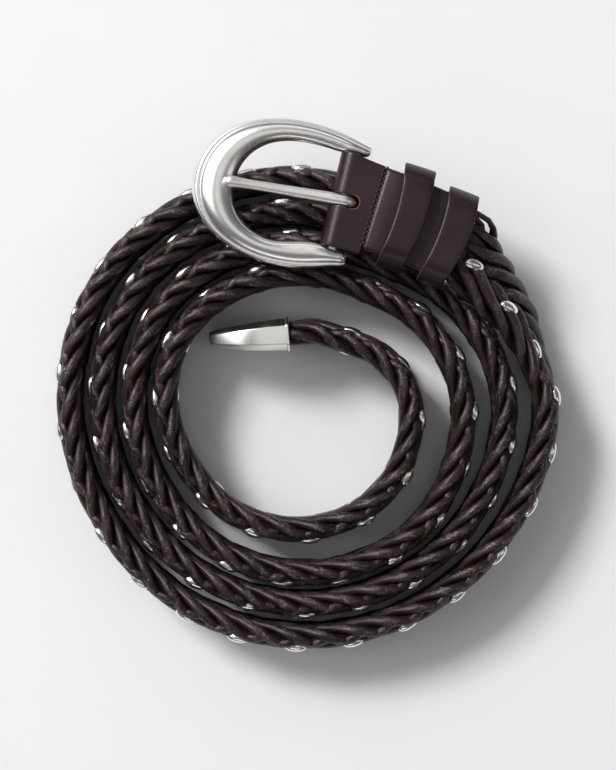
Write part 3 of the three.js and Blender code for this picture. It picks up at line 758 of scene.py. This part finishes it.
def studTree():
    m = Maker("studTree", {"Length": "Float", "Width": "Float", "Rise": "Float", "Segments": "Int", "Rings": "Int",
                           "Material": "Material"})
    ball = m.node("GeometryNodeMeshUVSphere", None,
                  {"Segments": m.given("Segments"), "Rings": m.given("Rings"), "Radius": 1.0}, "Mesh")
    spot = m.node("GeometryNodeInputPosition")
    height = m.node("ShaderNodeSeparateXYZ", None, {"Vector": spot}, "Z")
    below = m.node("FunctionNodeCompare", {"operation": "LESS_THAN"}, {"A": height, "B": -0.3})
    dome = m.node("GeometryNodeDeleteGeometry", None, {"Geometry": ball, "Selection": below})
    rim = m.node("ShaderNodeMapRange", None, {"Value": height, "From Min": 0.45, "From Max": 0.05})
    dome = m.store(dome, "groove", rim)
    size = m.node("ShaderNodeCombineXYZ", None,
                  {"X": m.given("Length") * 0.5, "Y": m.given("Width") * 0.5, "Z": m.given("Rise")})
    dome = m.node("GeometryNodeTransform", None, {"Geometry": dome, "Scale": size})
    turn = m.node("FunctionNodeAxesToRotation", {"primary_axis": "Z", "secondary_axis": "X"},
                  {"Primary Axis": m.attribute("studOut", "FLOAT_VECTOR"),
                   "Secondary Axis": m.attribute("studAhead", "FLOAT_VECTOR")})
    many = m.node("GeometryNodeInstanceOnPoints", None,
                  {"Points": Wire(m, m.group.outputs["Geometry"]), "Instance": dome, "Rotation": turn,
                   "Scale": m.attribute("studScale", "FLOAT_VECTOR")})
    m.finish(many, m.given("Material"))
    return m


def studPlaces():
    s = studs
    places = []
    along = s["first"]
    end = strap.along[-1] - tip["hold"] - tip["run"]
    while along < end:
        places.append(along)
        along += s["pitch"]
    return np.array(places)


def makeStuds():
    s = studs
    along = studPlaces()
    rng = random.Random(5)
    points, outs, aheads, scales = [], [], [], []
    for side in (1, -1):
        # on the rings the outer face's studs sit higher and prouder than the inner face's
        outward = np.clip(-side * strap.at("lean", along) / coil["lean"], -1, 1)
        half = strap.at("thick", along) * coil["strapThickness"] / 2
        proud = s["proud"] + (s["outerProud"] - s["proud"]) * np.clip(outward, 0, 1)
        lift = s["outerLift"] * np.clip(outward, 0, 1) + s["innerLift"] * np.clip(-outward, 0, 1)
        spots = moved(strap.point(along, side * (half + proud - s["rise"]), lift))
        points.extend(spots)
        face = strap.at("face", along) * side
        ahead = strap.at("ahead", along)
        edge = strap.at("edge", along)
        turns = [*s["firstTurns"], *([0.0] * len(along))]
        for f, a, e, o, turn in zip(face, ahead, edge, np.clip(outward, 0, 1), turns):
            tiltA, tiltB, twist = rng.uniform(-0.12, 0.12), rng.uniform(-0.1, 0.1), rng.uniform(-0.12, 0.12) + turn
            tiltB += s["outerTilt"] * o
            outs.append(f + a * tiltA + e * tiltB)
            aheads.append(a + e * twist)
            scales.append([rng.uniform(0.95, 1.05), rng.uniform(0.93, 1.05), rng.uniform(0.9, 1.05)])
    mesh = meshOf("studSpots", points, [])
    mark(mesh, "studOut", outs, "FLOAT_VECTOR")
    mark(mesh, "studAhead", aheads, "FLOAT_VECTOR")
    mark(mesh, "studScale", scales, "FLOAT_VECTOR")
    values = {"Length": s["length"] * mm, "Width": s["width"] * mm, "Rise": s["rise"] * mm,
              "Segments": s["segments"], "Rings": s["rings"], "Material": finishes["stud"]}
    return studTree().run(place("studSpots", mesh), "studs", values)


studPiece = makeStuds()
print("belt: studs have", len(studPiece.data.polygons), "faces")


# The leather sleeve that binds the braid's end

sleeve = {"corner": 1.1, "crown": 0.25, "shoulder": 4.85}


def makeSleeve():
    b = buckleEnd
    start = b["loopRadius"] + b["leather"] + 0.6
    rings, cuts = [], []
    stations = [(start, b["tabNeck"]), (b["loopReach"] - 0.6, b["tabNeck"])]
    for i in range(7):
        share = i / 6
        eased = share * share * (3 - 2 * share)
        stations.append((b["loopReach"] + 0.06 + 0.3 * share, mix(b["tabNeck"], sleeve["shoulder"], eased)))
    for share in (0.2, 0.4, 0.6, 0.8, 1.0):
        thick = mix(sleeve["shoulder"], b["tabBody"], math.sin(share * math.pi / 2))
        stations.append((b["loopReach"] + 0.4 + 5.0 * share, thick))
    stations += [(along, b["tabBody"]) for along in np.linspace(b["loopReach"] + 6.6, b["tabLength"], 12)]
    for along, thick in stations:
        outline = roundedBox(b["tabWidth"] / 2, 0, thick, min(sleeve["corner"], thick * 0.45), 5, 12)
        ring = []
        for across, up in outline:
            share = across / (b["tabWidth"] / 2)
            lift = sleeve["crown"] * (1 - share ** 2) * (1 if up > thick / 2 else 0) * (thick / b["tabBody"])
            drop = sleeve["crown"] * (up > thick / 2)
            ring.append(onTab(along, drawnIn(across, along), b["tabFloor"] + up + lift - drop))
            cuts.append(1.0 if 0.12 < up / thick < 0.3 and abs(share) > 0.97 else 0.0)
        rings.append(ring)
    inner = []
    for along in (b["tabLength"], b["tabLength"] - 2.5):
        thick = b["tabBody"] - 2 * b["tabWall"]
        outline = roundedBox(b["tabWidth"] / 2 - b["tabWall"], b["tabWall"], b["tabWall"] + thick, 0.9, 5, 12)
        inner.append([onTab(along, drawnIn(x, along), b["tabFloor"] + z) for x, z in outline])
        cuts.extend([1.0] * len(outline))
    return skin("sleeve", rings + inner, marks={"cutEdge": cuts}, material=finishes["tab"])


sleevePiece = makeSleeve()


# The strip folded round the bar, with the prong's slot and its stitched end

fold = {"steps": 20, "corner": 0.35, "slotHalf": 1.65, "slotAcross": -0.6, "slotEnd": 4.0, "edgeReach": 0.34,
        "lowerEdge": 1.05}


def makeFold():
    b = buckleEnd
    middle = b["loopRadius"] + b["leather"] / 2
    path = [(along, -middle, -90) for along in np.linspace(b["loopReach"], 0.4, 8)]
    for i in range(fold["steps"] + 1):
        turn = -90 - 180 * i / fold["steps"]
        path.append((middle * math.cos(math.radians(turn)), middle * math.sin(math.radians(turn)), turn))
    path += [(along, middle, -270) for along in np.linspace(0.4, b["loopReach"], 14)]
    rings = []
    half = b["tabWidth"] / 2
    outline = roundedBox(half, -b["leather"] / 2, b["leather"] / 2, fold["corner"], 4, 30)
    for along, height, turn in path:
        outX, outZ = math.cos(math.radians(turn)), math.sin(math.radians(turn))
        ring = []
        for across, out in outline:
            across = drawnIn(across - fold["lowerEdge"] * max(-across / half, 0), along)
            ring.append(onTab(along + outX * out, across, b["barHeight"] + height + outZ * out))
        rings.append(ring)
    strip = skin("fold", rings, material=finishes["tab"])
    cutter = makeSlotCutter()
    cut = strip.modifiers.new("slot", "BOOLEAN")
    cut.operation = "DIFFERENCE"
    cut.object = cutter
    cut.solver = "EXACT"
    settle(strip)
    bpy.data.objects.remove(cutter)
    soften = strip.modifiers.new("soft", "BEVEL")
    soften.width = 0.22 * mm
    soften.segments = 3
    soften.limit_method = "ANGLE"
    soften.angle_limit = math.radians(50)
    settle(strip)
    markCuts(strip)
    strip.data.shade_smooth()
    return strip


def makeSlotCutter():
    # through both layers of the roll
    half, end = fold["slotHalf"], fold["slotEnd"]
    outline = [(-8.0, -half), (end - half, -half)]
    turns = np.linspace(-math.pi / 2, math.pi / 2, 17)[1:-1]
    outline += [(end - half + half * math.cos(a), half * math.sin(a)) for a in turns]
    outline += [(end - half, half), (-8.0, half)]
    levels = [buckleEnd["barHeight"] + up for up in (-6.0, 6.0)]
    rings = [[onBuckle(x, y + fold["slotAcross"], level) for x, y in outline] for level in levels]
    return skin("slotCutter", rings)


def markCuts(strip):
    # raw leather shows inside the slot and along the strip's two long edges
    mesh = strip.data
    points = np.array([v.co[:] for v in mesh.vertices]) / mm - coilShift
    flat = points[:, :2] - barSpot[:2]
    x = flat[:, 0] * math.cos(-heading) - flat[:, 1] * math.sin(-heading)
    y = flat[:, 0] * math.sin(-heading) + flat[:, 1] * math.cos(-heading)
    half, end = fold["slotHalf"], fold["slotEnd"]
    past = np.maximum(x - (end - half), 0)
    away = np.hypot(past, y - fold["slotAcross"]) - half
    slot = np.clip(1 - np.abs(away) / fold["edgeReach"], 0, 1) * np.clip((x - 1.2) / 1.4, 0, 1)
    pull = buckleEnd["drawIn"] * (1 - np.exp(-np.maximum(x, 0) / buckleEnd["drawInOver"]))
    edge = buckleEnd["tabWidth"] / 2 + np.where(y < 0, fold["lowerEdge"], -pull)
    side = np.clip(1 - np.abs(np.abs(y) - edge) / 0.16, 0, 1) * 0.7
    mark(mesh, "slotEdge", slot)
    mark(mesh, "cutEdge", side * (x < 6.5))


foldPiece = makeFold()
print("belt: sleeve and fold made")


# Stitches: two close rows over the fold's end

stitches = {"count": 15, "reach": 10.2, "along": 7.68, "apart": 0.6, "length": 1.25, "width": 0.56, "height": 28.42}


def stitchTree():
    m = Maker("stitchTree", {"Start": "Vector", "End": "Vector", "Count": "Int", "Length": "Float", "Thread": "Float",
                             "Slant": "Float", "Material": "Material"})
    row = m.node("GeometryNodeCurvePrimitiveLine", None, {"Start": m.given("Start"), "End": m.given("End")})
    spots = m.node("GeometryNodeCurveToPoints", None, {"Curve": row, "Count": m.given("Count")}, "Points")
    thread = m.node("GeometryNodeMeshUVSphere", None, {"Segments": 8, "Rings": 6, "Radius": 0.5}, "Mesh")
    size = m.node("ShaderNodeCombineXYZ", None,
                  {"X": m.given("Thread"), "Y": m.given("Length"), "Z": m.given("Thread")})
    thread = m.node("GeometryNodeTransform", None, {"Geometry": thread, "Scale": size})
    spin = m.node("FunctionNodeRandomValue", {"data_type": "FLOAT"}, {2: -0.12, 3: 0.12, "Seed": 4}, 1)
    turn = m.node("ShaderNodeCombineXYZ", None, {"Z": m.given("Slant") + spin})
    turned = m.node("FunctionNodeEulerToRotation", None, {"Euler": turn})
    many = m.node("GeometryNodeInstanceOnPoints", None, {"Points": spots, "Instance": thread, "Rotation": turned})
    m.finish(many, m.given("Material"))
    return m


def makeStitches():
    s = stitches
    tree = stitchTree()
    rows = []
    upper = drawnIn(s["reach"], s["along"])
    for i, (shift, slant) in enumerate(((-s["apart"] / 2, 0.55), (s["apart"] / 2, -0.55))):
        lag = 0.75 * i
        ends = [onTab(s["along"] + shift, reach + lag, s["height"]) * mm for reach in (upper, -s["reach"])]
        values = {"Start": ends[0].tolist(), "End": ends[1].tolist(), "Count": s["count"], "Length": s["length"] * mm,
                  "Thread": s["width"] * mm, "Slant": heading + slant, "Material": finishes["thread"]}
        rows.append(tree.run(place("stitchStart", meshOf("stitchStart", [(0, 0, 0)], [])), "stitchRow", values))
    return joined("stitches", rows)


stitchPiece = makeStitches()


# The keepers: two loops of leather round the sleeve, slightly askew

keepers = {"width": 7.2, "room": 1.6, "bend": 1.1, "upper": 4.4, "lower": 1.4, "corner": 0.36, "crown": 0.35,
           # along the tab, askew, room at the sides, drawn in above
           "rows": ((16.2, 3.0, 0.75, 0.6), (27.7, 5.0, 0.2, 1.3))}


def makeKeeper(name, along, askew, side, trim):
    b, k = buckleEnd, keepers
    innerHalf = b["tabWidth"] / 2 + side
    floor, ceiling = b["coilTop"] + b["leather"], b["tabFloor"] + b["tabBody"] + k["room"]
    path = []
    corners = [(1, floor, k["lower"], -90), (1, ceiling, k["upper"], 0),
               (-1, ceiling, k["upper"], 90), (-1, floor, k["lower"], 180)]
    for hand, level, corner, turn in corners:
        up = level + (corner if level == floor else -corner)
        for step in range(9):
            path.append((hand * (innerHalf - corner), up, corner, math.radians(turn + 11.25 * step)))
    stations = []
    for i, (y, z, corner, turn) in enumerate(path):
        stations.append((y + corner * math.cos(turn), z + corner * math.sin(turn), math.cos(turn), math.sin(turn)))
        y2, z2, corner2, turn2 = path[(i + 1) % len(path)]
        if i % 9 == 8:
            there = (y2 + corner2 * math.cos(turn2), z2 + corner2 * math.sin(turn2))
            here = stations[-1]
            steps = 14 if abs(there[0] - here[0]) > 6 else 3
            for s in range(1, steps):
                w = s / steps
                stations.append((mix(here[0], there[0], w), mix(here[1], there[1], w), here[2], here[3]))
    outline = roundedBox(k["width"] / 2, 0, b["leather"], k["corner"], 4, 6)
    rings, cuts = [], []
    skewTurn = math.radians(askew)
    for y, z, outY, outZ in stations:
        ring = []
        bow = k["crown"] * (1 - (y / innerHalf) ** 2) if outZ > 0.9 else 0.0
        for reach, depth in outline:
            across, level = y + outY * depth - trim * max(y, 0) / innerHalf, z + outZ * depth + bow
            x = along + reach * math.cos(skewTurn) - across * math.sin(skewTurn)
            x += k["bend"] * (0.6 - abs(across / innerHalf) ** 2.2) * (level - floor) / (ceiling - floor)
            y2 = reach * math.sin(skewTurn) + across * math.cos(skewTurn)
            ring.append(onTab(x, y2, level))
            nearEdge = abs(reach) > k["width"] / 2 - 0.16 and depth > b["leather"] * 0.55
            # raw leather on the cut edges, and a painted highlight: the edge towards the buckle, which faces the light,
            # is painted much lighter than the far one
            cuts.append((0.95 if reach < 0 else 0.5) if nearEdge else 0.0)
        rings.append(ring)
    return skin(name, rings, looped=True, marks={"cutEdge": cuts}, material=finishes["tab"])


keeperPieces = [makeKeeper(f"keeperLoop{i + 1}", *row) for i, row in enumerate(keepers["rows"])]
print("belt: keepers made")


# The buckle frame, its bar and the prong

buckle = {
    "reach": 38.0, "width": 36.2, "windowReach": 27.5, "windowWidth": 25.2, "crownWidth": 9.6,
    "thickness": 5.0, "slide": -0.8, "armShare": 0.76, "stepsPerRow": 8, "sectionSteps": 4,
    # number, outer back and side, inner back and side, thickness, rise
    "rows": [(0, 1.0, 0.0, 1.0, 0.0, 1.0, 0.0), (1, 0.968, 0.343, 0.968, 0.349, 1.0, 0.0),
             (2, 0.888, 0.586, 0.9, 0.611, 0.98, 0.03), (3, 0.766, 0.807, 0.779, 0.857, 0.94, 0.1),
             (4, 0.572, 0.961, 0.593, 0.984, 0.86, 0.3), (5, 0.372, 1.0, 0.411, 1.0, 0.82, 0.55),
             (6, 0.2, 0.961, 0.232, 0.992, 0.82, 0.8), (7, 0.04, 0.9, 0.071, 0.984, 0.84, 0.95),
             (8, -0.075, 0.825, -0.09, 0.99, 0.68, 1.12)],
    # across from the outer edge, up, and how much of a groove it is
    "section": [(0.0, 0.34, 0.0), (0.06, 0.1, 0.0), (0.22, 0.0, 0.0), (0.8, 0.0, 0.0), (0.94, 0.1, 0.0),
                (1.0, 0.32, 0.0), (0.98, 0.54, 0.0), (0.93, 0.74, 0.0), (0.84, 0.89, 0.0), (0.72, 0.97, 0.0),
                (0.59, 1.0, 0.0), (0.46, 0.97, 0.0), (0.34, 0.89, 0.0), (0.25, 0.79, 0.1), (0.215, 0.73, 0.7),
                (0.18, 0.72, 0.3), (0.11, 0.71, 0.0), (0.04, 0.58, 0.0)],
    "turn": 0.036, "lowerArmGrowth": 1.8, "lowerArmFade": 0.75, "lowerArmOut": 0.9, "upperArmGrowth": 0.5,
    "barRadius": 1.3, "barInArms": 1.2,
    # how the arms' ends close: push outward and size of the section
    "ends": ((0.45, 0.93), (0.85, 0.8), (1.15, 0.6), (1.3, 0.4), (1.36, 0.2)),
}


def ringCurve(rows, steps):
    # closed smooth curve through the section's points, with the third value carried along
    count = len(rows)
    wrapped = [np.array(rows[i % count][:2]) for i in range(-1, count + 2)]
    places, numbers = smoothRoute(wrapped, steps)
    held = [rows[i % count][2] for i in range(-1, count + 2)]
    marks = np.interp(numbers, np.arange(count + 3), held)
    return np.column_stack([places, marks])[steps:steps * (count + 1)]


def makeFrame():
    b = buckle
    section = ringCurve(b["section"], b["sectionSteps"])
    last = len(b["rows"]) - 1
    armThick = b["thickness"] * b["armShare"]
    rings, grooves = [], []

    # both outlines are smooth curves fitted to the rows, the same on either side of the crown
    numbers = np.arange(-last, last + 1)
    rows = [b["rows"][abs(n)] for n in numbers]
    fits = [np.polyfit(numbers, [row[c] * (np.sign(n) if c in (2, 4) else 1) for n, row in zip(numbers, rows)], 9)
            for c in (1, 2, 3, 4)]

    def ease(share):
        share = min(max(share, 0), 1)
        return share * share * (3 - 2 * share)

    def station(at, shrink=1.0, push=0.0):
        outBack, outSide, inBack, inSide = (float(np.polyval(fit, at)) for fit in fits)
        thickShare, rise = (between(b["rows"], c, abs(at)) for c in (5, 6))
        # the lower arm is wider than the upper one, most of all just before its end
        fade = 1 - b["lowerArmFade"] * min(max((-at - 5.0) / 2.8, 0), 1)
        grown = b["lowerArmGrowth"] * ease((-at - 4.0) / 2.5) * fade
        grown -= b["upperArmGrowth"] * ease((at - 5.5) / 2)
        beyond = b["lowerArmOut"] * ease((-at - 3.0) / 3.0)
        outer = np.array([-b["reach"] * outBack + push, b["width"] * outSide / 2 + b["slide"] - beyond])
        inner = np.array([-b["windowReach"] * inBack + push, b["windowWidth"] * inSide / 2 + b["slide"] + grown])
        thick = b["thickness"] * thickShare
        floor = buckleEnd["coilTop"] + (buckleEnd["barHeight"] - buckleEnd["coilTop"] - armThick / 2) * rise
        ring = []
        for across, up, groove in section:
            if across > 0.5 and up > 0.3:
                up = up ** (1 - 0.5 * min(max((abs(at) - 4) / 3, 0), 1))  # the arms are fuller on the window's side
            across, up = 0.5 + (across - 0.5) * shrink, 0.45 + (up - 0.45) * shrink
            x, y = outer + (inner - outer) * across
            y += b["turn"] * min(x, 0)
            ring.append(onBuckle(x, y, floor + thick * up))
            grooves.append(groove)
        rings.append(ring)

    total = last * b["stepsPerRow"]
    for push, shrink in reversed(b["ends"]):
        station(-last, shrink, push)
    for i in range(-total, total + 1):
        station(i / b["stepsPerRow"])
    for push, shrink in b["ends"]:
        station(last, shrink, push)
    body = skin("frameBody", rings, marks={"groove": grooves}, material=finishes["metal"])
    half, radius = (b["windowWidth"] + b["barInArms"]) / 2, b["barRadius"]
    stops, sides = 9, 32
    turns = [2 * math.pi * i / sides for i in range(sides)]
    barRings = [[onBuckle(radius * math.cos(turn), y + b["slide"], buckleEnd["barHeight"] + radius * math.sin(turn))
                 for turn in turns] for y in np.linspace(-half, half, stops)]
    bar = skin("frameBar", barRings, marks={"groove": np.full(stops * sides, 0.3)}, material=finishes["metal"])
    return joined("buckleFrame", [body, bar])


framePiece = makeFrame()

tongue = {"width": 2.9, "thickness": 2.0, "wrap": 2.6, "bow": -0.35, "slip": -0.6, "skew": -2.1, "rest": 0.21,
          "tipGap": 0.25, "hook": -0.16, "hookTurn": 84, "steps": 60, "sides": 20,
          # share of the length and size of the section there
          "sizes": [(-0.16, 0.6), (-0.13, 0.84), (-0.06, 0.95), (0.02, 0.96), (0.09, 1.0), (0.2, 0.95), (0.5, 0.86),
                    (0.8, 0.82), (0.88, 0.88), (0.925, 1.0), (0.955, 1.04), (0.975, 0.96), (0.99, 0.74), (0.997, 0.5),
                    (1.0, 0.25)]}


def makeTongue():
    t, b = tongue, buckleEnd
    half = t["width"] / 2
    radius, hook = t["wrap"], t["hook"]
    root = b["barHeight"] + radius
    tipHeight = b["coilTop"] + buckle["thickness"] + t["tipGap"] + t["thickness"] / 2
    length = buckle["windowReach"] + buckle["crownWidth"] * t["rest"]
    shares = sorted({*np.linspace(hook, 0.0, 22), *np.linspace(0.0, 0.95, t["steps"]), *np.linspace(0.95, 1.0, 14)})
    rings = []
    for share in shares:
        size = float(np.interp(share, [s[0] for s in t["sizes"]], [s[1] for s in t["sizes"]]))
        if share < 0:
            # the root bends down behind the bar
            turn = math.radians(90 - t["hookTurn"] * share / hook)
            along, height = radius * math.cos(turn), b["barHeight"] + radius * math.sin(turn)
            upX, upZ = math.cos(turn), math.sin(turn)
        else:
            along = -length * share
            height = mix(root, tipHeight, share) + t["bow"] * math.sin(math.pi * share)
            upX, upZ = 0.0, 1.0
        ring = []
        for i in range(t["sides"]):
            turn = 2 * math.pi * i / t["sides"]
            up = t["thickness"] / 2 * size * math.sin(turn)
            across = t["slip"] + t["skew"] * max(share, 0) ** 1.1 + half * size * math.cos(turn)
            ring.append(onBuckle(along + upX * up, across, height + upZ * up))
        rings.append(ring)
    return skin("tongue", rings, marks={"groove": np.zeros(len(rings) * t["sides"])}, material=finishes["prong"])


tonguePiece = makeTongue()
print("belt: buckle made")


# The metal tip

def strapSection(thick, wide, flatShare=3.6 / 6.2, fullBand=0.54, cut=0.3):
    half, full, flat = wide / 2, thick / 2, thick / 2 * flatShare
    corners = np.array([(flat, -half), (full, -half * fullBand), (full, half * fullBand), (flat, half),
                        (-flat, half), (-full, half * fullBand), (-full, -half * fullBand), (-flat, -half)])
    outline = []
    for i, corner in enumerate(corners):
        before, after = corners[i - 1] - corner, corners[(i + 1) % 8] - corner
        a = corner + before / np.linalg.norm(before) * cut
        c = corner + after / np.linalg.norm(after) * cut
        for w in (0.0, 0.25, 0.5, 0.75, 1.0):
            outline.append(a * (1 - w) ** 2 + 2 * corner * w * (1 - w) + c * w * w)
    return outline


def makeTip():
    t = tip
    mouthCore = coil["strapThickness"] * t["mouthShare"] + 0.6
    mouth, inner = mouthCore + 2 * t["wall"] + 0.35, coil["strapWidth"] - 2 * t["wall"]
    endCore = t["endThickness"] - 2 * t["wall"]
    wide = coil["strapWidth"]
    rim = mouth + 2 * t["flare"]
    length, endThick = t["length"], t["endThickness"]
    # along, thickness and width: up the inside, round the rolled rim, and down the outside to the rounded end
    rows = [(length - 2.5, endCore, inner), (6.0, mix(mouthCore, endCore, 0.3), inner), (0.25, mouthCore, inner),
            (0.0, mouthCore + 0.3, inner + 0.3), (0.0, rim - 0.3, wide - 0.3), (0.12, rim - 0.06, wide - 0.06),
            (0.25, rim, wide), (0.5, rim, wide), (0.6, rim - 0.1, wide), (0.75, mouth + 0.1, wide), (0.95, mouth, wide)]
    rows += [(length * share, mix(mouth, endThick, share ** 1.9), wide) for share in np.linspace(0.08, 0.95, 18)]
    rows += [(length - back, endThick + more, wide - less)
             for back, more, less in ((0.5, 0.05, 0.02), (0.2, -0.25, 0.3), (0.05, -0.65, 0.8), (0, -1.1, 1.3))]
    side = np.cross([0.0, 0.0, 1.0], capAhead)
    rings, grooves = [], []
    for along, thick, high in rows:
        ring = []
        # the nose bends down a little towards its end
        nose = t["noseDrop"] * max(along / length - 0.3, 0) ** 2.5 / 0.41
        for out, over in strapSection(thick, high):
            over -= nose * max(over / (wide / 2), 0)
            shear = coil["lean"] * (over / coil["strapWidth"] + 0.5)
            point = capMouth + capAhead * along + side * (out + shear)
            point[2] = coil["strapWidth"] / 2 + over
            ring.append(moved(point))
            grooves.append(0.8 if 0.55 < along < 0.8 else 0.0)
        rings.append(ring)
    return skin("tipShell", rings, marks={"groove": grooves}, material=finishes["metal"])


tipPiece = makeTip()
print("belt: metal tip made")


# What each piece stands for

stands = [(braidPiece, "belt", "braid_leather", "strap"), (studPiece, "belt", "buckle_metal", None),
          (sleevePiece, "belt", "tab_leather", "tab"), (foldPiece, "belt", "tab_leather", "bar_loop"),
          (stitchPiece, "belt", "tab_leather", None), (keeperPieces[0], "belt", "tab_leather", "keeper_1"),
          (keeperPieces[1], "belt", "tab_leather", "keeper_2"),
          (framePiece, "buckle", "buckle_metal", "buckle_frame"),
          (tonguePiece, "tongue", "buckle_metal", "prong"), (tipPiece, "belt", "buckle_metal", "tip_cap")]
for piece, body, slotName, node in stands:
    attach(piece, body)
    if node:
        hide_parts(node)


# Floor, light and camera

studio = {
    "zenith": 0.17, "horizon": 0.07, "height": 0.5216, "lens": 62.3, "centre": (-0.0001, 0.0), "floorHalf": 1500,
    # place, size and power
    "lights": {
        "keyLight": ((-1.5, 1.36, 2.0), (0.75, 0.75), 66.0), "keyCard": ((-1.0, 0.55, 1.15), (1.5, 1.3), 8.5),
        "topCard": ((0.1, 0.0, 1.5), (0.9, 0.7), 1.1), "sideCard": ((0.95, -0.2, 0.75), (0.35, 0.9), 0.7),
        "lowCard": ((-0.2, -1.0, 0.6), (0.9, 0.3), 1.1), "backCard": ((-0.1, 1.1, 0.75), (1.2, 0.5), 1.6),
    },
}

reach = studio["floorHalf"]
corners = [(-reach, -reach, 0), (reach, -reach, 0), (reach, reach, 0), (-reach, reach, 0)]
floorMesh = meshOf("floor", corners, [(0, 1, 2, 3)])
floorMesh.materials.append(finishes["floor"])
floor = place("floor", floorMesh)

world = bpy.data.worlds.new("studio")
bpy.context.scene.world = world
world.use_nodes = True
sky = Bench(world.node_tree)
sky.tree.nodes.clear()
up = sky.node("ShaderNodeSeparateXYZ", None, {"Vector": sky.node("ShaderNodeTexCoord", out="Generated")}, "Z")
stops = [(0.0, (studio["horizon"],) * 3), (0.35, (studio["horizon"] * 1.5,) * 3), (1.0, (studio["zenith"],) * 3)]
shade = sky.node("ShaderNodeValToRGB", {"stops": stops}, {"Fac": up}, "Color")
glow = sky.node("ShaderNodeBackground", None, {"Color": shade, "Strength": 1.0})
end = sky.tree.nodes.new("ShaderNodeOutputWorld")
sky.tree.links.new(glow.socket, end.inputs["Surface"])


for name, (where, size, power) in studio["lights"].items():
    lamp = bpy.data.lights.new(name, "AREA")
    lamp.shape = "RECTANGLE"
    lamp.size, lamp.size_y = size
    lamp.energy = power
    made = place(name, lamp)
    made.location = where
    made.rotation_euler = (-Vector(where)).to_track_quat("-Z", "Y").to_euler()

camera = bpy.data.cameras.new("camera")
camera.sensor_fit = "VERTICAL"
camera.sensor_height = 24.0
camera.lens = studio["lens"]
camera.clip_start = 0.01
shot = place("camera", camera)
shot.location = (*studio["centre"], studio["height"])
shot.rotation_euler = (0.0, 0.0, 0.0)
bpy.context.scene.camera = shot
bpy.context.scene.view_settings.view_transform = "Standard"

print("belt: ready")
